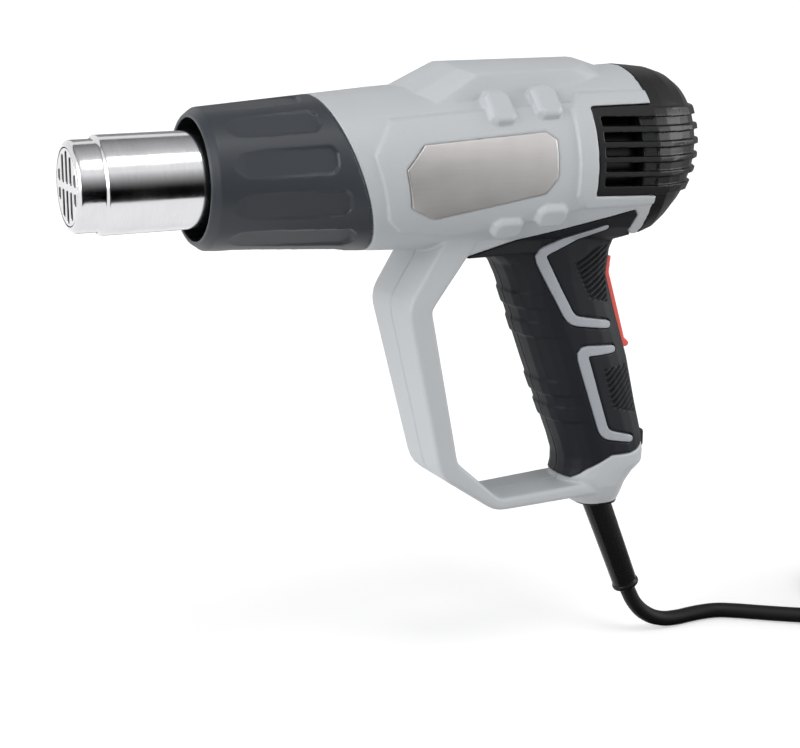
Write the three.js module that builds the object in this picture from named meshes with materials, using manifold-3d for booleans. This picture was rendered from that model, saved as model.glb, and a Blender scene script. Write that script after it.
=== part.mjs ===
// Hot air tool: a pistol-shaped heat gun with a loop in front of the grip. Millimetres, +Z up.
// It is drawn in the barrel's frame, where X runs back from the outlet's tip and Z = 0 is the barrel's axis,
// and then moved so that the origin lies in the middle of the hand grip. The outlet points towards -X.

import * as THREE from 'three';
import { mergeVertices } from 'three/addons/utils/BufferGeometryUtils.js';
import { ConvexGeometry } from 'three/addons/geometries/ConvexGeometry.js';
import { LoftGeometry } from 'three/addons/geometries/LoftGeometry.js';
import Module from 'manifold-3d';

const wasm = await Module();
wasm.setup();

// Fits
const GAP = 0.3; // between pieces that touch
const PARTING = 0.2; // between the two housing halves
const RUNNING_GAP = 2; // round the fan

// Barrel, along X
const OUTLET_EXPOSED = 44.5; // outlet tip to the guard's mouth
const GUARD_LENGTH = 54.8; // mouth to the parting edge, on the axis
const HOUSING_LENGTH = 118.7; // parting edge to the rear cap's seam
const CAP_DEPTH = 26.6;
const WAIST_OFFSET = 14.4; // parting edge to the change of taper
const GUARD_RADIUS = 25.4;
const WAIST_RADIUS = 30.2;
const SEAM_RADIUS = 35.5;
const HOUSING_WALL = 2.4;
const SKIN = 1.8; // thickness of the soft grip
const ROUND = 32; // sides of the barrel's outside
const ROUND_INSIDE = 24; // sides of turned pieces inside it

const GUARD_X = OUTLET_EXPOSED;
const EDGE_X = GUARD_X + GUARD_LENGTH;
const SEAM_X = EDGE_X + HOUSING_LENGTH;
const BACK_X = SEAM_X + CAP_DEPTH;
const WAIST_X = EDGE_X + WAIST_OFFSET;
const CORE = SKIN + GAP; // depth of the housing's surface under the soft grip
const CAVITY = CORE + HOUSING_WALL; // depth of the housing's inside
const WIDE = 3 * SEAM_RADIUS; // longer than anything that a cut has to cross

// Outlet and heater
const OUTLET_RADIUS = 17.5;
const OUTLET_WALL = 1;
const TIP_RADIUS = 16.2;
const TIP_LENGTH = 11;
const LIP_RADIUS = 13.9; // opening inside the rolled lip
const LIP_LENGTH = 2.4; // length of the lip's rounding
const TIP_RAMP = 2;
const BEAD_RISE = 0.4; // bead behind the step
const GRILLE_THICKNESS = 1.2;
const GRILLE_SLOTS = 5; // in each half
const GRILLE_SLOT_WIDTH = 2.7;
const GRILLE_BAR = 2.4;
const GRILLE_RIM = 1;
const MICA_WALL = 0.6;
const HEATER_SETBACK = 30; // outlet tip to the heater core
const CORE_RADIUS = 12.2;
const CORE_CHANNEL = 2.8; // radius of an air channel in the core
const CORE_CHANNELS = 6;
const CORE_WEB = 1.4; // core left outside a channel
const WIRE_RADIUS = 0.6;
const WIRE_TURNS = 7;
const WIRE_STEPS = 10; // in a turn
const WIRE_MARGIN = 4; // bare core at each end of the winding
const MICA_MARGIN = 4; // mica in front of the core
const OUTLET_TAIL = 2; // outlet tube behind its flange
const CUTOUT_RADIUS = 3.5;
const CUTOUT_LENGTH = 5;

// Nose guard
const MOUTH_RADIUS = 22;
const MOUTH_LIP = 1.4; // width of the mouth's front face
const MOUTH_CHAMFER = 3.1;
const EDGE_SLOPE = 0.325; // lean of the guard's rear edge, X per Z
const SPIGOT_REACH = 14; // how far the guard reaches into the housing
const FLUTES = 11;
const FLUTE_PHASE = 41; // degrees from the top to the first flute
const FLUTE_WIDTH = 10;
const FLUTE_CORNER = 2.4;
const FLUTE_MARGIN = 6.3; // flute end to the guard's rear edge
const FLUTE_START = 6; // mouth to the front end of a flute
const FLUTE_RAMP = 6; // length over which a flute's floor dips below the cone
// Depth of a flute's middle at its front end, at the ramp's foot and at the guard's rear end
const FLUTE_DEPTHS = [-0.05, 0.5, 1.6];

// Blower
const FLANGE_THICKNESS = 3;
const DUCT_WALL = 2;
const FAN_RADIUS = 26;
const FAN_DEPTH = 12;
const FAN_BLADES = 7;
const HUB_RADIUS = 9;
const BLADE_THICKNESS = 1.6;
const BLADE_PITCH = 40; // degrees
const SHAFT_RADIUS = 1.5;
const MOTOR_RADIUS = 14;
const MOTOR_LENGTH = 31;
const MOTOR_SETBACK = 2; // motor's rear to the seam
const MOTOR_STANDOFF = 3; // fan to motor
const SHAFT_POCKET = 4; // solid end of the motor behind the shaft
const MOUNT_DEPTH = 6;
const MOUNT_WALL = 2.5;
const MOUNT_SPOKES = 3;
const BOARD_RADIUS = 13;
const BOARD_THICKNESS = 1.6;
const RECTIFIER_SIZE = 10;
const RECTIFIER_HEIGHT = 5;

// Raised forms on the housing, heights above the barrel
const PANEL_RISE = 1;
const COLLAR_RISE = 2.4; // at its front
const COLLAR_END_RISE = 0.9; // at the seam
const BUMP_RISE = 3.2;
const BUMP_CUT = 2.2; // length that a bump's cut corner takes from each side
const BUMP_BEVEL = 1.2;
// A bump's length along the barrel and its height round it.
const UPPER_BUMP = [10.4, 14.6];
const LOWER_BUMP = [12.5, 9.4];
const HUMP_RISE = 6.9; // above the barrel at the hump's front corner
const BADGE_SINK = 0.5;
const BADGE_PROUD = 0.3;

// Rear cap
const CAP_WALL = 2.4;
const CAP_LIP = 6; // how far the cap reaches into the housing
// A cap station is its share of the depth, its share of the seam's radius and the lift of its middle.
const CAP_STATIONS = [
  [0, 1, 0],
  [0.23, 0.966, 0.6],
  [0.49, 0.885, 2.6],
  [0.72, 0.78, 4.3],
  [0.89, 0.66, 5.6],
  [1, 0.52, 6],
];
const TONGUE_LENGTH = 26; // side vent, from the seam forward
const TONGUE_LOW = -10.4;
const TONGUE_HIGH = 22;
const VENT_BAND = 3.4; // above and below the slots
const RIBS = 4; // between the bands
const RIB_THICKNESS = 2.2;
const RIB_PROUD = 1.1;
const RIB_DROP = 1.8; // fall of a rib from the vent to the back
const VENT_FLOOR = 0.6; // depth of the vent's plate under the barrel's surface
const VENT_WALL = 3;
const VENT_FRAME = 3;

// Grip, loop and their trims. A grip station is height, front, back (both from the seam) and half width.
const GRIP_STATIONS = [
  [-20, -57, -3.4, 19.5],
  [-27, -57, -0.8, 19],
  [-29.5, -57, 0.4, 18.8],
  [-32.5, -57, -1.4, 18.6],
  [-35.5, -55.2, -2.8, 18.3],
  [-39, -51.5, -3.4, 18],
  [-45.5, -48.4, -4.2, 17.4],
  [-62, -42.6, 0.7, 17],
  [-80, -36.2, 6.6, 17],
  [-100, -28.5, 11.2, 16.6],
  [-113, -23.4, 14.6, 16.4],
  [-120, -21.2, 15.5, 16.2],
  [-124.5, -21.3, 15.4, 16],
  [-128, -22.2, 11, 15.6],
  [-132, -19.5, 7.4, 15],
  [-137, -17, 5.8, 13],
  [-140.5, -15, 4.8, 10.8],
];
// The neck is a flat-bottomed block between the barrel, the loop and the grip.
const NECK_REACH = 74; // from the seam forward
const NECK_LOW = -33.5;
const NECK_HALF_WIDTH = 17.8;
const GRIP_SQUARENESS = 2.5; // exponent of the grip's rounded section
const GRIP_SIDES = 24;
const RIDGES = [-53.3, -65.1, -89.8, -100.9]; // heights of the finger ridges
const RIDGE_HEIGHT = 7.8;
const RIDGE_EDGE = 1; // height of a ridge's bevel
const RIDGE_PROUD = 0.8;
const RIDGE_SIDE_SINK = 0.06; // under the grip's sides, where a ridge runs out
const CAVITY_FLOOR = -127;
const LOOP_ROUNDING = 1.4;
const LOOP_CORNER = 3.5; // length of a corner's bend along each leg
// A loop station is its point from the seam, thickness and width.
const LOOP_STATIONS = [
  [-68, -17.3, 12.5, 38],
  [-91.1, -51, 9.8, 36],
  [-76.8, -116.5, 8.6, 29],
  [-54.5, -134.1, 5, 26],
  [-8.3, -132.5, 5.6, 28],
];
// Screws through the loop: the leg that each goes through and its share of the way along that leg
const LOOP_SCREWS = [
  [0, 0.5],
  [1, 0.4],
  [1, 0.9],
];
const TRIM_PROUD = 0.7;
const TRIM_CORNER = 3.2; // length of a corner's bend along each leg

// Switch
const ROCKER_TOP = -38.9;
const ROCKER_FOOT = -76.5;
const ROCKER_WAIST = -45.5;
const ROCKER_HALF_WIDTH = 8.2;
const ROCKER_PROUD = 0.4;
const ROCKER_THICKNESS = 4.5;
const ROCKER_KEEL = 11.8; // thickness at the pin
const ROCKER_BEAD = 1.3; // radius of the bead along the foot
const BEAD_SINK = 0.8; // the bead's middle under the rocker's face
const ROCKER_SWING = 7; // degrees each way
const PIN_DEPTH = 8.6; // pin axis under the rocker's face
const PIN_HEIGHT = -58;
const PIN_RADIUS = 1.5;
const PIN_SEAT = 2.6; // length of the pin in each housing half
const SWITCH_TOP = -49;
const SWITCH_FOOT = -70;
const SWITCH_DEPTH = 15;
const SWITCH_SETBACK = 12.8; // grip's back to the switch's back face

// Fasteners and leads
const SCREW_RADIUS = 1.9;
const SCREW_HEAD_RADIUS = 3;
const SCREW_HEAD_HEIGHT = 2.2;
const SCREW_GRIP = 8; // length of thread in the left half
const HEAD_SINK = 2.5; // head under the surface it is screwed in from
const LEAD_RADIUS = 1.1;
const CLAMP_SPAN = 13;
const CLAMP_WIDTH = 5;
const CLAMP_HEIGHT = 5;
const CLAMP_TOP = -121;
const CLAMP_THICKNESS = 3;
const CLAMP_SCREW_RADIUS = 1.2;
const CLAMP_SCREW_HEAD = 2.2;
const CLAMP_BOSS_RADIUS = 2.6;

// Cord, from the tool to its coil
const CORD_RADIUS = 3.25;
const CORD_STEPS = 32;
const CORD_SIDES = 8;
const SLEEVE_LENGTH = 45;
const SLEEVE_LEAN = 22; // degrees from straight down
const SLEEVE_TOP_RADIUS = 5.8;
const SLEEVE_END_RADIUS = 5.2;
const SLEEVE_LIP = 0.5;
const SLEEVE_LIP_LENGTH = 1.8;
const SLEEVE_FLANGE_RADIUS = 9;
const SLEEVE_FLANGE = 1.5;
const SLEEVE_PLUG_RADIUS = 5.4;
const SLEEVE_PLUG_DEPTH = 9;
const FLOOR_Z = -205;
const TIE_THICKNESS = 0.8;
const TIE_WIDTH = 7;
const TIE_ROOM = 0.8; // between the tie and the turns, in and out
const COIL_CENTRE = [SEAM_X + 155, -16.9];
const COIL_RADIUS = 36; // at the middle of the turns
const COIL_TURNS = 1.428; // in each layer
const COIL_LAYERS = 4;
const COIL_PITCH = 8;
const LAYER_PITCH = 7.3;
const COIL_START = -126.9; // degrees
const LOOP_STEPS = 24;

// Plug, lying on the floor beside the coil
const PLUG_LENGTH = 50;
const PLUG_HALF_WIDTH = 17.5;
const PLUG_HALF_HEIGHT = 12.5;
const PLUG_NECK_RADIUS = 5.4;
const PLUG_TAIL = 36; // coil to plug
const PLUG_PIN_RADIUS = 2.4;
const PLUG_PIN_LENGTH = 19;
const PLUG_PIN_SPACING = 19;

const ORIGIN = [SEAM_X - 15, 0, -80]; // the middle of the grip, in the barrel's frame

const radians = THREE.MathUtils.degToRad;
const lerp = THREE.MathUtils.lerp;

// Solids

function solid(geometry) {
  const bare = new THREE.BufferGeometry();
  bare.setAttribute('position', geometry.getAttribute('position'));
  bare.setIndex(geometry.index);
  const merged = mergeVertices(bare, 1e-4);
  const vertProperties = new Float32Array(merged.getAttribute('position').array);
  const corner = (index) => new THREE.Vector3().fromArray(vertProperties, 3 * index);
  const triVerts = [];
  let volume = 0;
  for (let i = 0; i < merged.index.count; i += 3) {
    const [a, b, c] = merged.index.array.subarray(i, i + 3);
    if (a === b || b === c || c === a) continue;
    triVerts.push(a, b, c);
    volume += corner(a).dot(corner(b).cross(corner(c)));
  }
  if (volume < 0) triVerts.reverse();
  const mesh = new wasm.Mesh({ numProp: 3, vertProperties, triVerts: new Uint32Array(triVerts) });
  return new wasm.Manifold(mesh);
}

function geometryOf(manifold) {
  const mesh = manifold.getMesh();
  const geometry = new THREE.BufferGeometry();
  geometry.setAttribute('position', new THREE.Float32BufferAttribute(mesh.vertProperties, mesh.numProp));
  geometry.setIndex(new THREE.Uint32BufferAttribute(mesh.triVerts, 1));
  geometry.computeVertexNormals();
  return geometry;
}

const joined = (solids) => solids.reduce((sum, next) => sum.add(next));

// A profile of [x, radius] points turned about the barrel's axis.
function turned(profile, sides = ROUND) {
  const closed = profile[0][1] === 0 ? profile : [...profile, profile[0]];
  const points = closed.map(([x, radius]) => new THREE.Vector2(radius, x));
  return solid(new THREE.LatheGeometry(points, sides).rotateZ(-Math.PI / 2));
}

function shapeOf(points) {
  return new THREE.Shape(points.map(([u, v]) => new THREE.Vector2(u, v)));
}

// A side-view outline of [x, z] points, carried across from one Y to another.
function across(points, from = -WIDE, to = WIDE) {
  const options = { depth: to - from, bevelEnabled: false };
  return solid(new THREE.ExtrudeGeometry(shapeOf(points), options).rotateX(Math.PI / 2).translate(0, to, 0));
}

// A front-view shape of (y, z), carried back from one X to another.
function along(shape, from, to) {
  const toFront = new THREE.Matrix4().makeBasis(
    new THREE.Vector3(0, 1, 0),
    new THREE.Vector3(0, 0, 1),
    new THREE.Vector3(1, 0, 0),
  );
  const geometry = new THREE.ExtrudeGeometry(shape, { depth: to - from, bevelEnabled: false });
  return solid(geometry.applyMatrix4(toFront).translate(from, 0, 0));
}

function block(low, high) {
  const size = high.map((value, i) => value - low[i]);
  const middle = high.map((value, i) => (value + low[i]) / 2);
  return solid(new THREE.BoxGeometry(...size).translate(...middle));
}

// A round bar across the tool.
function crossBar(x, z, radius, from, to, sides = 16) {
  const geometry = new THREE.CylinderGeometry(radius, radius, to - from, sides);
  return solid(geometry.translate(x, (from + to) / 2, z));
}

function circleShape(radius, sides, middle = [0, 0]) {
  const shape = new THREE.Shape();
  for (let i = 0; i < sides; i += 1) {
    const angle = (2 * Math.PI * i) / sides;
    const point = [middle[0] + radius * Math.cos(angle), middle[1] + radius * Math.sin(angle)];
    if (i === 0) shape.moveTo(...point);
    else shape.lineTo(...point);
  }
  return shape;
}

// A round tube along a list of points.
function tube(points, radius, steps, sides) {
  const knots = points.map((point) => new THREE.Vector3(...point));
  const path = new THREE.CatmullRomCurve3(knots, false, 'centripetal');
  const options = { steps, extrudePath: path, bevelEnabled: false };
  return new THREE.ExtrudeGeometry(circleShape(radius, sides), options);
}

function loft(sections) {
  return solid(new LoftGeometry(sections, { capStart: true, capEnd: true }));
}

// An outline moved outwards by a distance, or inwards by a negative one.
function grown(points, distance) {
  const area = points.reduce((sum, [u, v], i) => {
    const [nextU, nextV] = points[(i + 1) % points.length];
    return sum + u * nextV - nextU * v;
  }, 0);
  const side = distance * Math.sign(area);
  return points.map(([u, v], i) => {
    const before = new THREE.Vector2(...points[(i + points.length - 1) % points.length]);
    const after = new THREE.Vector2(...points[(i + 1) % points.length]);
    const here = new THREE.Vector2(u, v);
    const inward = here.clone().sub(before).normalize();
    const outward = after.clone().sub(here).normalize();
    const normal = new THREE.Vector2(inward.y + outward.y, -inward.x - outward.x).normalize();
    const reach = side / (normal.x * inward.y - normal.y * inward.x);
    return [u + normal.x * reach, v + normal.y * reach];
  });
}

// A line of [u, v, sizes ...] points with its corners bent round, over a length along each leg.
function bent(line, length) {
  const toward = (from, to, share) => from.map((value, i) => lerp(value, to[i], share));
  const apart = (a, b) => Math.hypot(a[0] - b[0], a[1] - b[1]);
  return line.flatMap((point, i) => {
    if (i === 0 || i === line.length - 1) return [point];
    const before = toward(point, line[i - 1], length / apart(point, line[i - 1]));
    const after = toward(point, line[i + 1], length / apart(point, line[i + 1]));
    return [0, 1 / 3, 2 / 3, 1].map((t) => toward(toward(before, point, t), toward(point, after, t), t));
  });
}

// The outline of a band along a line of [u, v, width] points, with a margin round it and round ends.
function band(line, margin) {
  const knots = line.map(([u, v, width]) => ({ point: new THREE.Vector2(u, v), half: width / 2 + margin }));
  const side = (list) =>
    list.map(({ point, half }, i) => {
      const back = i > 0 ? point.clone().sub(list[i - 1].point).normalize() : null;
      const ahead = i < list.length - 1 ? list[i + 1].point.clone().sub(point).normalize() : null;
      const way = (back ?? ahead).clone().add(ahead ?? back).normalize();
      const reach = half / way.dot(back ?? ahead);
      return [point.x - way.y * reach, point.y + way.x * reach];
    });
  const cap = ({ point, half }, before) => {
    const start = Math.atan2(point.y - before.point.y, point.x - before.point.x) + Math.PI / 2;
    return [1, 2, 3].map((step) => {
      const angle = start - (step * Math.PI) / 4;
      return [point.x + half * Math.cos(angle), point.y + half * Math.sin(angle)];
    });
  };
  const reversed = [...knots].reverse();
  return [...side(knots), ...cap(reversed[0], reversed[1]), ...side(reversed), ...cap(knots[0], knots[1])];
}

// The left (sign -1) or right (sign 1) half of a solid.
const halfOf = (whole, sign) => {
  const inner = PARTING / 2;
  const [from, to] = sign < 0 ? [-WIDE, -inner] : [inner, WIDE];
  return whole.intersect(block([-WIDE, from, 2 * FLOOR_Z], [BACK_X + WIDE, to, WIDE]));
};

// Barrel and grip forms, which the housing, its inside and the soft grip share

function barrelRadius(x) {
  if (x < WAIST_X) return lerp(GUARD_RADIUS, WAIST_RADIUS, (x - GUARD_X) / (WAIST_X - GUARD_X));
  return lerp(WAIST_RADIUS, SEAM_RADIUS, (x - WAIST_X) / (SEAM_X - WAIST_X));
}

function barrel(inset, from, to) {
  const knots = [from, ...[WAIST_X].filter((x) => x > from && x < to), to];
  return turned([[from, 0], ...knots.map((x) => [x, barrelRadius(x) - inset]), [to, 0]]);
}

function gripSection(z) {
  const next = Math.max(1, GRIP_STATIONS.findIndex((station) => station[0] <= z));
  const [a, b] = [GRIP_STATIONS[next - 1], GRIP_STATIONS[next]];
  const share = (z - a[0]) / (b[0] - a[0]);
  const [front, back, halfWidth] = [1, 2, 3].map((i) => lerp(a[i], b[i], share));
  return { front: SEAM_X + front, back: SEAM_X + back, halfWidth };
}

const gripBack = (z) => gripSection(z).back;

function gripHalfWidth(x, z, inset) {
  const { front, back, halfWidth } = gripSection(z);
  const share = Math.abs(x - (front + back) / 2) / ((back - front) / 2 - inset);
  return (halfWidth - inset) * (1 - share ** GRIP_SQUARENESS) ** (1 / GRIP_SQUARENESS);
}

function gripRing(z, inset) {
  const { front, back, halfWidth } = gripSection(z);
  const round = (value) => Math.sign(value) * Math.abs(value) ** (2 / GRIP_SQUARENESS);
  return Array.from({ length: GRIP_SIDES }, (_, i) => {
    const angle = (2 * Math.PI * i) / GRIP_SIDES;
    const x = (front + back) / 2 + ((back - front) / 2 - inset) * round(Math.cos(angle));
    return new THREE.Vector3(x, (halfWidth - inset) * round(Math.sin(angle)), z);
  });
}

function grip(inset, floor = GRIP_STATIONS.at(-1)[0]) {
  const heights = [...GRIP_STATIONS.map((station) => station[0]).filter((z) => z > floor), floor];
  return loft(heights.reverse().map((z) => gripRing(z, inset)));
}

// Towards the seam the barrel's underside is flattened, and the flat rises on under the rear cap.
function underside(inset) {
  const outline = [
    [SEAM_X - 22, -36.5],
    [SEAM_X - 4.2, -29.2],
    [SEAM_X + 2.7, -27.1],
    [SEAM_X + 7.3, -25.5],
    [SEAM_X + 16.4, -20.8],
    [SEAM_X + 24, -14.5],
    [SEAM_X + 32, -7],
    [SEAM_X + WIDE, -7],
    [SEAM_X + WIDE, FLOOR_Z],
    [SEAM_X - 22, FLOOR_Z],
  ];
  return across(outline.map(([x, z]) => [x, z > FLOOR_Z ? z + inset : z]));
}

function neck(inset) {
  const middle = gripSection(NECK_LOW);
  const halfWidth = NECK_HALF_WIDTH - inset;
  return block(
    [SEAM_X - NECK_REACH + inset, -halfWidth, NECK_LOW + inset],
    [(middle.front + middle.back) / 2, halfWidth, GRIP_STATIONS[0][0]],
  );
}

function bodyForm(inset) {
  const flattened = barrel(inset, EDGE_X - 2 * SPIGOT_REACH, SEAM_X).subtract(underside(inset));
  return flattened.add(grip(inset)).add(neck(inset));
}

// Outlines in the side view, [x, z]

const edgeAt = (z) => EDGE_X - EDGE_SLOPE * z;

const guardReach = SEAM_RADIUS + COLLAR_RISE;
const guardSide = [
  [-WIDE, -guardReach],
  [edgeAt(-guardReach), -guardReach],
  [edgeAt(guardReach), guardReach],
  [-WIDE, guardReach],
];

const panelOutline = [
  [EDGE_X + 4.8, 8.6],
  [EDGE_X + 12.7, 20.5],
  [SEAM_X - 71, 22.3],
  [SEAM_X - 30, 24],
  [SEAM_X - 30, -15.4],
  [SEAM_X - 48, -19],
  [SEAM_X - 66, -22],
  [SEAM_X - 82, -23.5],
  [EDGE_X + 16.8, -20.3],
  [EDGE_X + 11, -15.3],
];

const badgeOutline = [
  [EDGE_X + 23.5, 11.5],
  [EDGE_X + 15.9, 2.9],
  [EDGE_X + 18.7, -11.1],
  [EDGE_X + 28.2, -16],
  [SEAM_X - 47.3, -8.5],
  [SEAM_X - 42.9, -2.7],
  [SEAM_X - 42.6, 11.1],
  [SEAM_X - 46.7, 14.1],
];

// The side vent's tongue of the rear cap, which falls a little towards the back with its ribs.
const ventX = SEAM_X - TONGUE_LENGTH;
const fallAt = (x) => (RIB_DROP * (x - ventX)) / (BACK_X - ventX);

const tongueOutline = [
  [ventX, TONGUE_LOW],
  [ventX, TONGUE_HIGH],
  [SEAM_X + CAP_WALL, TONGUE_HIGH],
  [SEAM_X + CAP_WALL, TONGUE_LOW - fallAt(SEAM_X + CAP_WALL)],
];

const collarMargin = 8; // in front of the vent
const collarCorner = 5;
const collarX = ventX - collarMargin;
const collarOutline = [
  [SEAM_X, TONGUE_LOW - collarCorner],
  [collarX + collarCorner, TONGUE_LOW - collarCorner],
  [collarX, TONGUE_LOW],
  [collarX, TONGUE_HIGH],
  [collarX + collarCorner, TONGUE_HIGH + collarCorner],
  [SEAM_X, TONGUE_HIGH + collarCorner],
];

// Where the soft grip lies: up to a slanted line on the barrel, down to a wavy edge above the base.
const skinOutline = [
  [SEAM_X - 73, -33.3],
  [SEAM_X - 6.4, -17.6],
  [SEAM_X - 4.8, -19.4],
  [SEAM_X - 5.2, -26.5],
  [SEAM_X + 4, -33],
  [SEAM_X + 40, -50],
  [SEAM_X + 40, -106],
  [SEAM_X + 8.4, -118],
  [SEAM_X + 4, -118.9],
  [SEAM_X - 4.7, -118.6],
  [SEAM_X - 14.6, -123.9],
  [SEAM_X - 20, -128],
  [SEAM_X - 24, -127.6],
  [SEAM_X - 33, -124.5],
  [SEAM_X - 52, -90],
  [SEAM_X - 73, -50],
];

// The trims' middle lines, each point with the trim's width there.
const trimLines = {
  chevron_upper: [
    [SEAM_X - 16.2, -24.2, 2.2],
    [SEAM_X - 41.1, -33.8, 3.9],
    [SEAM_X - 25.5, -61.5, 3.9],
    [SEAM_X - 8.7, -64.6, 3.2],
  ],
  chevron_lower: [
    [SEAM_X - 6.2, -74.8, 3.1],
    [SEAM_X - 20.9, -74.3, 4.4],
    [SEAM_X - 8.8, -109.6, 3.9],
    [SEAM_X + 3.6, -112.8, 2.9],
  ],
};
const trimBand = (line, margin) => band(bent(line, TRIM_CORNER), margin);

// Switch rocker, drawn in the side view and hung on its pin

const pinX = gripBack(PIN_HEIGHT) + ROCKER_PROUD - PIN_DEPTH;

const rockerFace = (z) => gripBack(z) + ROCKER_PROUD;
const beadTop = ROCKER_FOOT + 3 * ROCKER_BEAD;

const rockerOutline = [
  [gripBack(ROCKER_TOP) + GAP, ROCKER_TOP],
  [rockerFace(ROCKER_WAIST), ROCKER_WAIST],
  [rockerFace(PIN_HEIGHT), PIN_HEIGHT],
  [rockerFace(beadTop) - BEAD_SINK / 2, beadTop],
  ...[60, 30, 0, -45, -90].map((degrees) => [
    rockerFace(ROCKER_FOOT) - BEAD_SINK + ROCKER_BEAD * Math.cos(radians(degrees)),
    ROCKER_FOOT + ROCKER_BEAD + ROCKER_BEAD * Math.sin(radians(degrees)),
  ]),
  [rockerFace(ROCKER_FOOT) - ROCKER_THICKNESS, ROCKER_FOOT],
  [rockerFace(PIN_HEIGHT) - ROCKER_KEEL, PIN_HEIGHT - PIN_RADIUS],
  [rockerFace(PIN_HEIGHT) - ROCKER_KEEL, PIN_HEIGHT + PIN_RADIUS],
  [rockerFace(ROCKER_TOP) - ROCKER_THICKNESS, ROCKER_TOP],
];

function aboutPin(points, degrees) {
  const pin = new THREE.Vector2(pinX, PIN_HEIGHT);
  return points.map(([x, z]) => new THREE.Vector2(x, z).rotateAround(pin, radians(degrees)).toArray());
}

// The room that the rocker sweeps between its two ends, with clearance.
function rockerPocket() {
  const reach = ROCKER_HALF_WIDTH + GAP;
  const swings = [-1, -0.5, 0, 0.5, 1].map((share) => share * ROCKER_SWING);
  return joined(swings.map((swing) => across(grown(aboutPin(rockerOutline, swing), GAP), -reach, reach)));
}

const pinEnd = ROCKER_HALF_WIDTH + GAP + PIN_SEAT;

function switchRocker() {
  const body = across(rockerOutline, -ROCKER_HALF_WIDTH, ROCKER_HALF_WIDTH);
  return body.subtract(crossBar(pinX, PIN_HEIGHT, PIN_RADIUS + GAP, -WIDE, WIDE));
}

function switchBody() {
  const rear = (z) => gripBack(z) - SWITCH_SETBACK;
  const corners = [SWITCH_TOP, SWITCH_FOOT].map((z) => gripHalfWidth(rear(z), z, CAVITY));
  const halfWidth = Math.min(...corners) - GAP;
  const outline = [
    [rear(SWITCH_TOP), SWITCH_TOP],
    [rear(SWITCH_FOOT), SWITCH_FOOT],
    [rear(SWITCH_FOOT) - SWITCH_DEPTH, SWITCH_FOOT],
    [rear(SWITCH_TOP) - SWITCH_DEPTH, SWITCH_TOP],
  ];
  return across(outline, -halfWidth, halfWidth);
}

// Housing screws: each runs across, from its head in the right half into the left half

const screwPlaces = [
  { x: EDGE_X + 48.4, z: barrelRadius(EDGE_X + 48.4) - 0.4, head: 15 },
  { x: SEAM_X - 28, z: barrelRadius(SEAM_X - 28) - 1.3, head: 13 },
  ...LOOP_SCREWS.map(([leg, share]) => {
    const [x, z, , width] = LOOP_STATIONS[leg].map((value, i) => lerp(value, LOOP_STATIONS[leg + 1][i], share));
    return { x: SEAM_X + x, z, head: width / 2 - HEAD_SINK };
  }),
  { x: SEAM_X - 13.5, z: -132, head: 10.5 },
];

function screw(x, z, head, tip, radius, headRadius, headHeight) {
  const shank = crossBar(x, z, radius, tip, head, 10);
  return shank.add(crossBar(x, z, headRadius, head - headHeight, head, 12));
}

function housingScrew({ x, z, head }) {
  return screw(x, z, head, -SCREW_GRIP, SCREW_RADIUS, SCREW_HEAD_RADIUS, SCREW_HEAD_HEIGHT);
}

function screwHoles() {
  const holes = screwPlaces.map(({ x, z, head }) => {
    const shank = crossBar(x, z, SCREW_RADIUS + GAP, -SCREW_GRIP - GAP, head);
    return shank.add(crossBar(x, z, SCREW_HEAD_RADIUS + GAP, head - SCREW_HEAD_HEIGHT - GAP, WIDE));
  });
  return joined(holes);
}

// Cord exit: the cord comes straight down out of the base and then leans back with its sleeve

// The cord's route from the clamp to its coil, X from the seam.
const CORD_ROUTE = [
  [-3, 0, -119],
  [-3, 0, -127],
  [-3, 0, -135],
  [-2.5, 0, -140.4],
  [-1, 0, -145.5],
  [3.7, 0, -157.2],
  [7.5, 0, -166.5],
  [11.2, 0, -175.7],
  [15.1, 0, -185.3],
  [18.9, 0.1, -191.8],
  [24.5, 0.2, -197.1],
  [31.8, 0.4, -200.5],
  [40.1, 0.9, -201.75],
  [48, 1.4, -201.75],
  [55, 1.4, -201.75],
  [61.5, 0.2, -201.75],
  [67.4, -3.2, -201.75],
  [74, -8, -201.75],
  [82, -14.1, -201.7],
  [90, -20.2, -201.5],
  [98, -26.2, -201.2],
  [106, -32.2, -200.9],
  [115, -38.9, -200.7],
  [124.3, -45.9, -200.6],
];

const cordRoute = CORD_ROUTE.map(([x, y, z]) => [SEAM_X + x, y, z]);

const baseZ = GRIP_STATIONS.at(-1)[0];
const exitX = cordRoute[0][0];
const sleeveTop = baseZ - GAP - SLEEVE_FLANGE;
const cordTop = cordRoute[0][2];
const coilFloor = FLOOR_Z + TIE_THICKNESS + GAP + CORD_RADIUS;

// Piled loops: the spiral goes in and out again layer by layer, and climbs a layer in the half turn between.
function coilPoints() {
  const points = [];
  const swing = (COIL_TURNS * COIL_PITCH) / 2;
  let angle = radians(COIL_START);
  const add = (radius, height) => {
    const x = COIL_CENTRE[0] + radius * Math.cos(angle);
    points.push([x, COIL_CENTRE[1] + radius * Math.sin(angle), coilFloor + height]);
  };
  for (let layer = 0; layer < COIL_LAYERS; layer += 1) {
    const inwards = layer % 2 === 0 ? 1 : -1;
    const turns = Math.round(COIL_TURNS * LOOP_STEPS);
    for (let step = 0; step < turns; step += 1) {
      add(COIL_RADIUS + inwards * lerp(swing, -swing, step / turns), layer * LAYER_PITCH);
      angle += (2 * Math.PI * COIL_TURNS) / turns;
    }
    if (layer === COIL_LAYERS - 1) break;
    for (let step = 0; step < LOOP_STEPS / 2; step += 1) {
      const climb = (1 - Math.cos((Math.PI * step) / (LOOP_STEPS / 2))) / 2;
      add(COIL_RADIUS - inwards * swing, (layer + climb) * LAYER_PITCH);
      angle += (2 * Math.PI) / LOOP_STEPS;
    }
  }
  add(COIL_RADIUS + swing, (COIL_LAYERS - 1) * LAYER_PITCH);
  return { points, angle, radius: COIL_RADIUS + swing };
}

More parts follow.
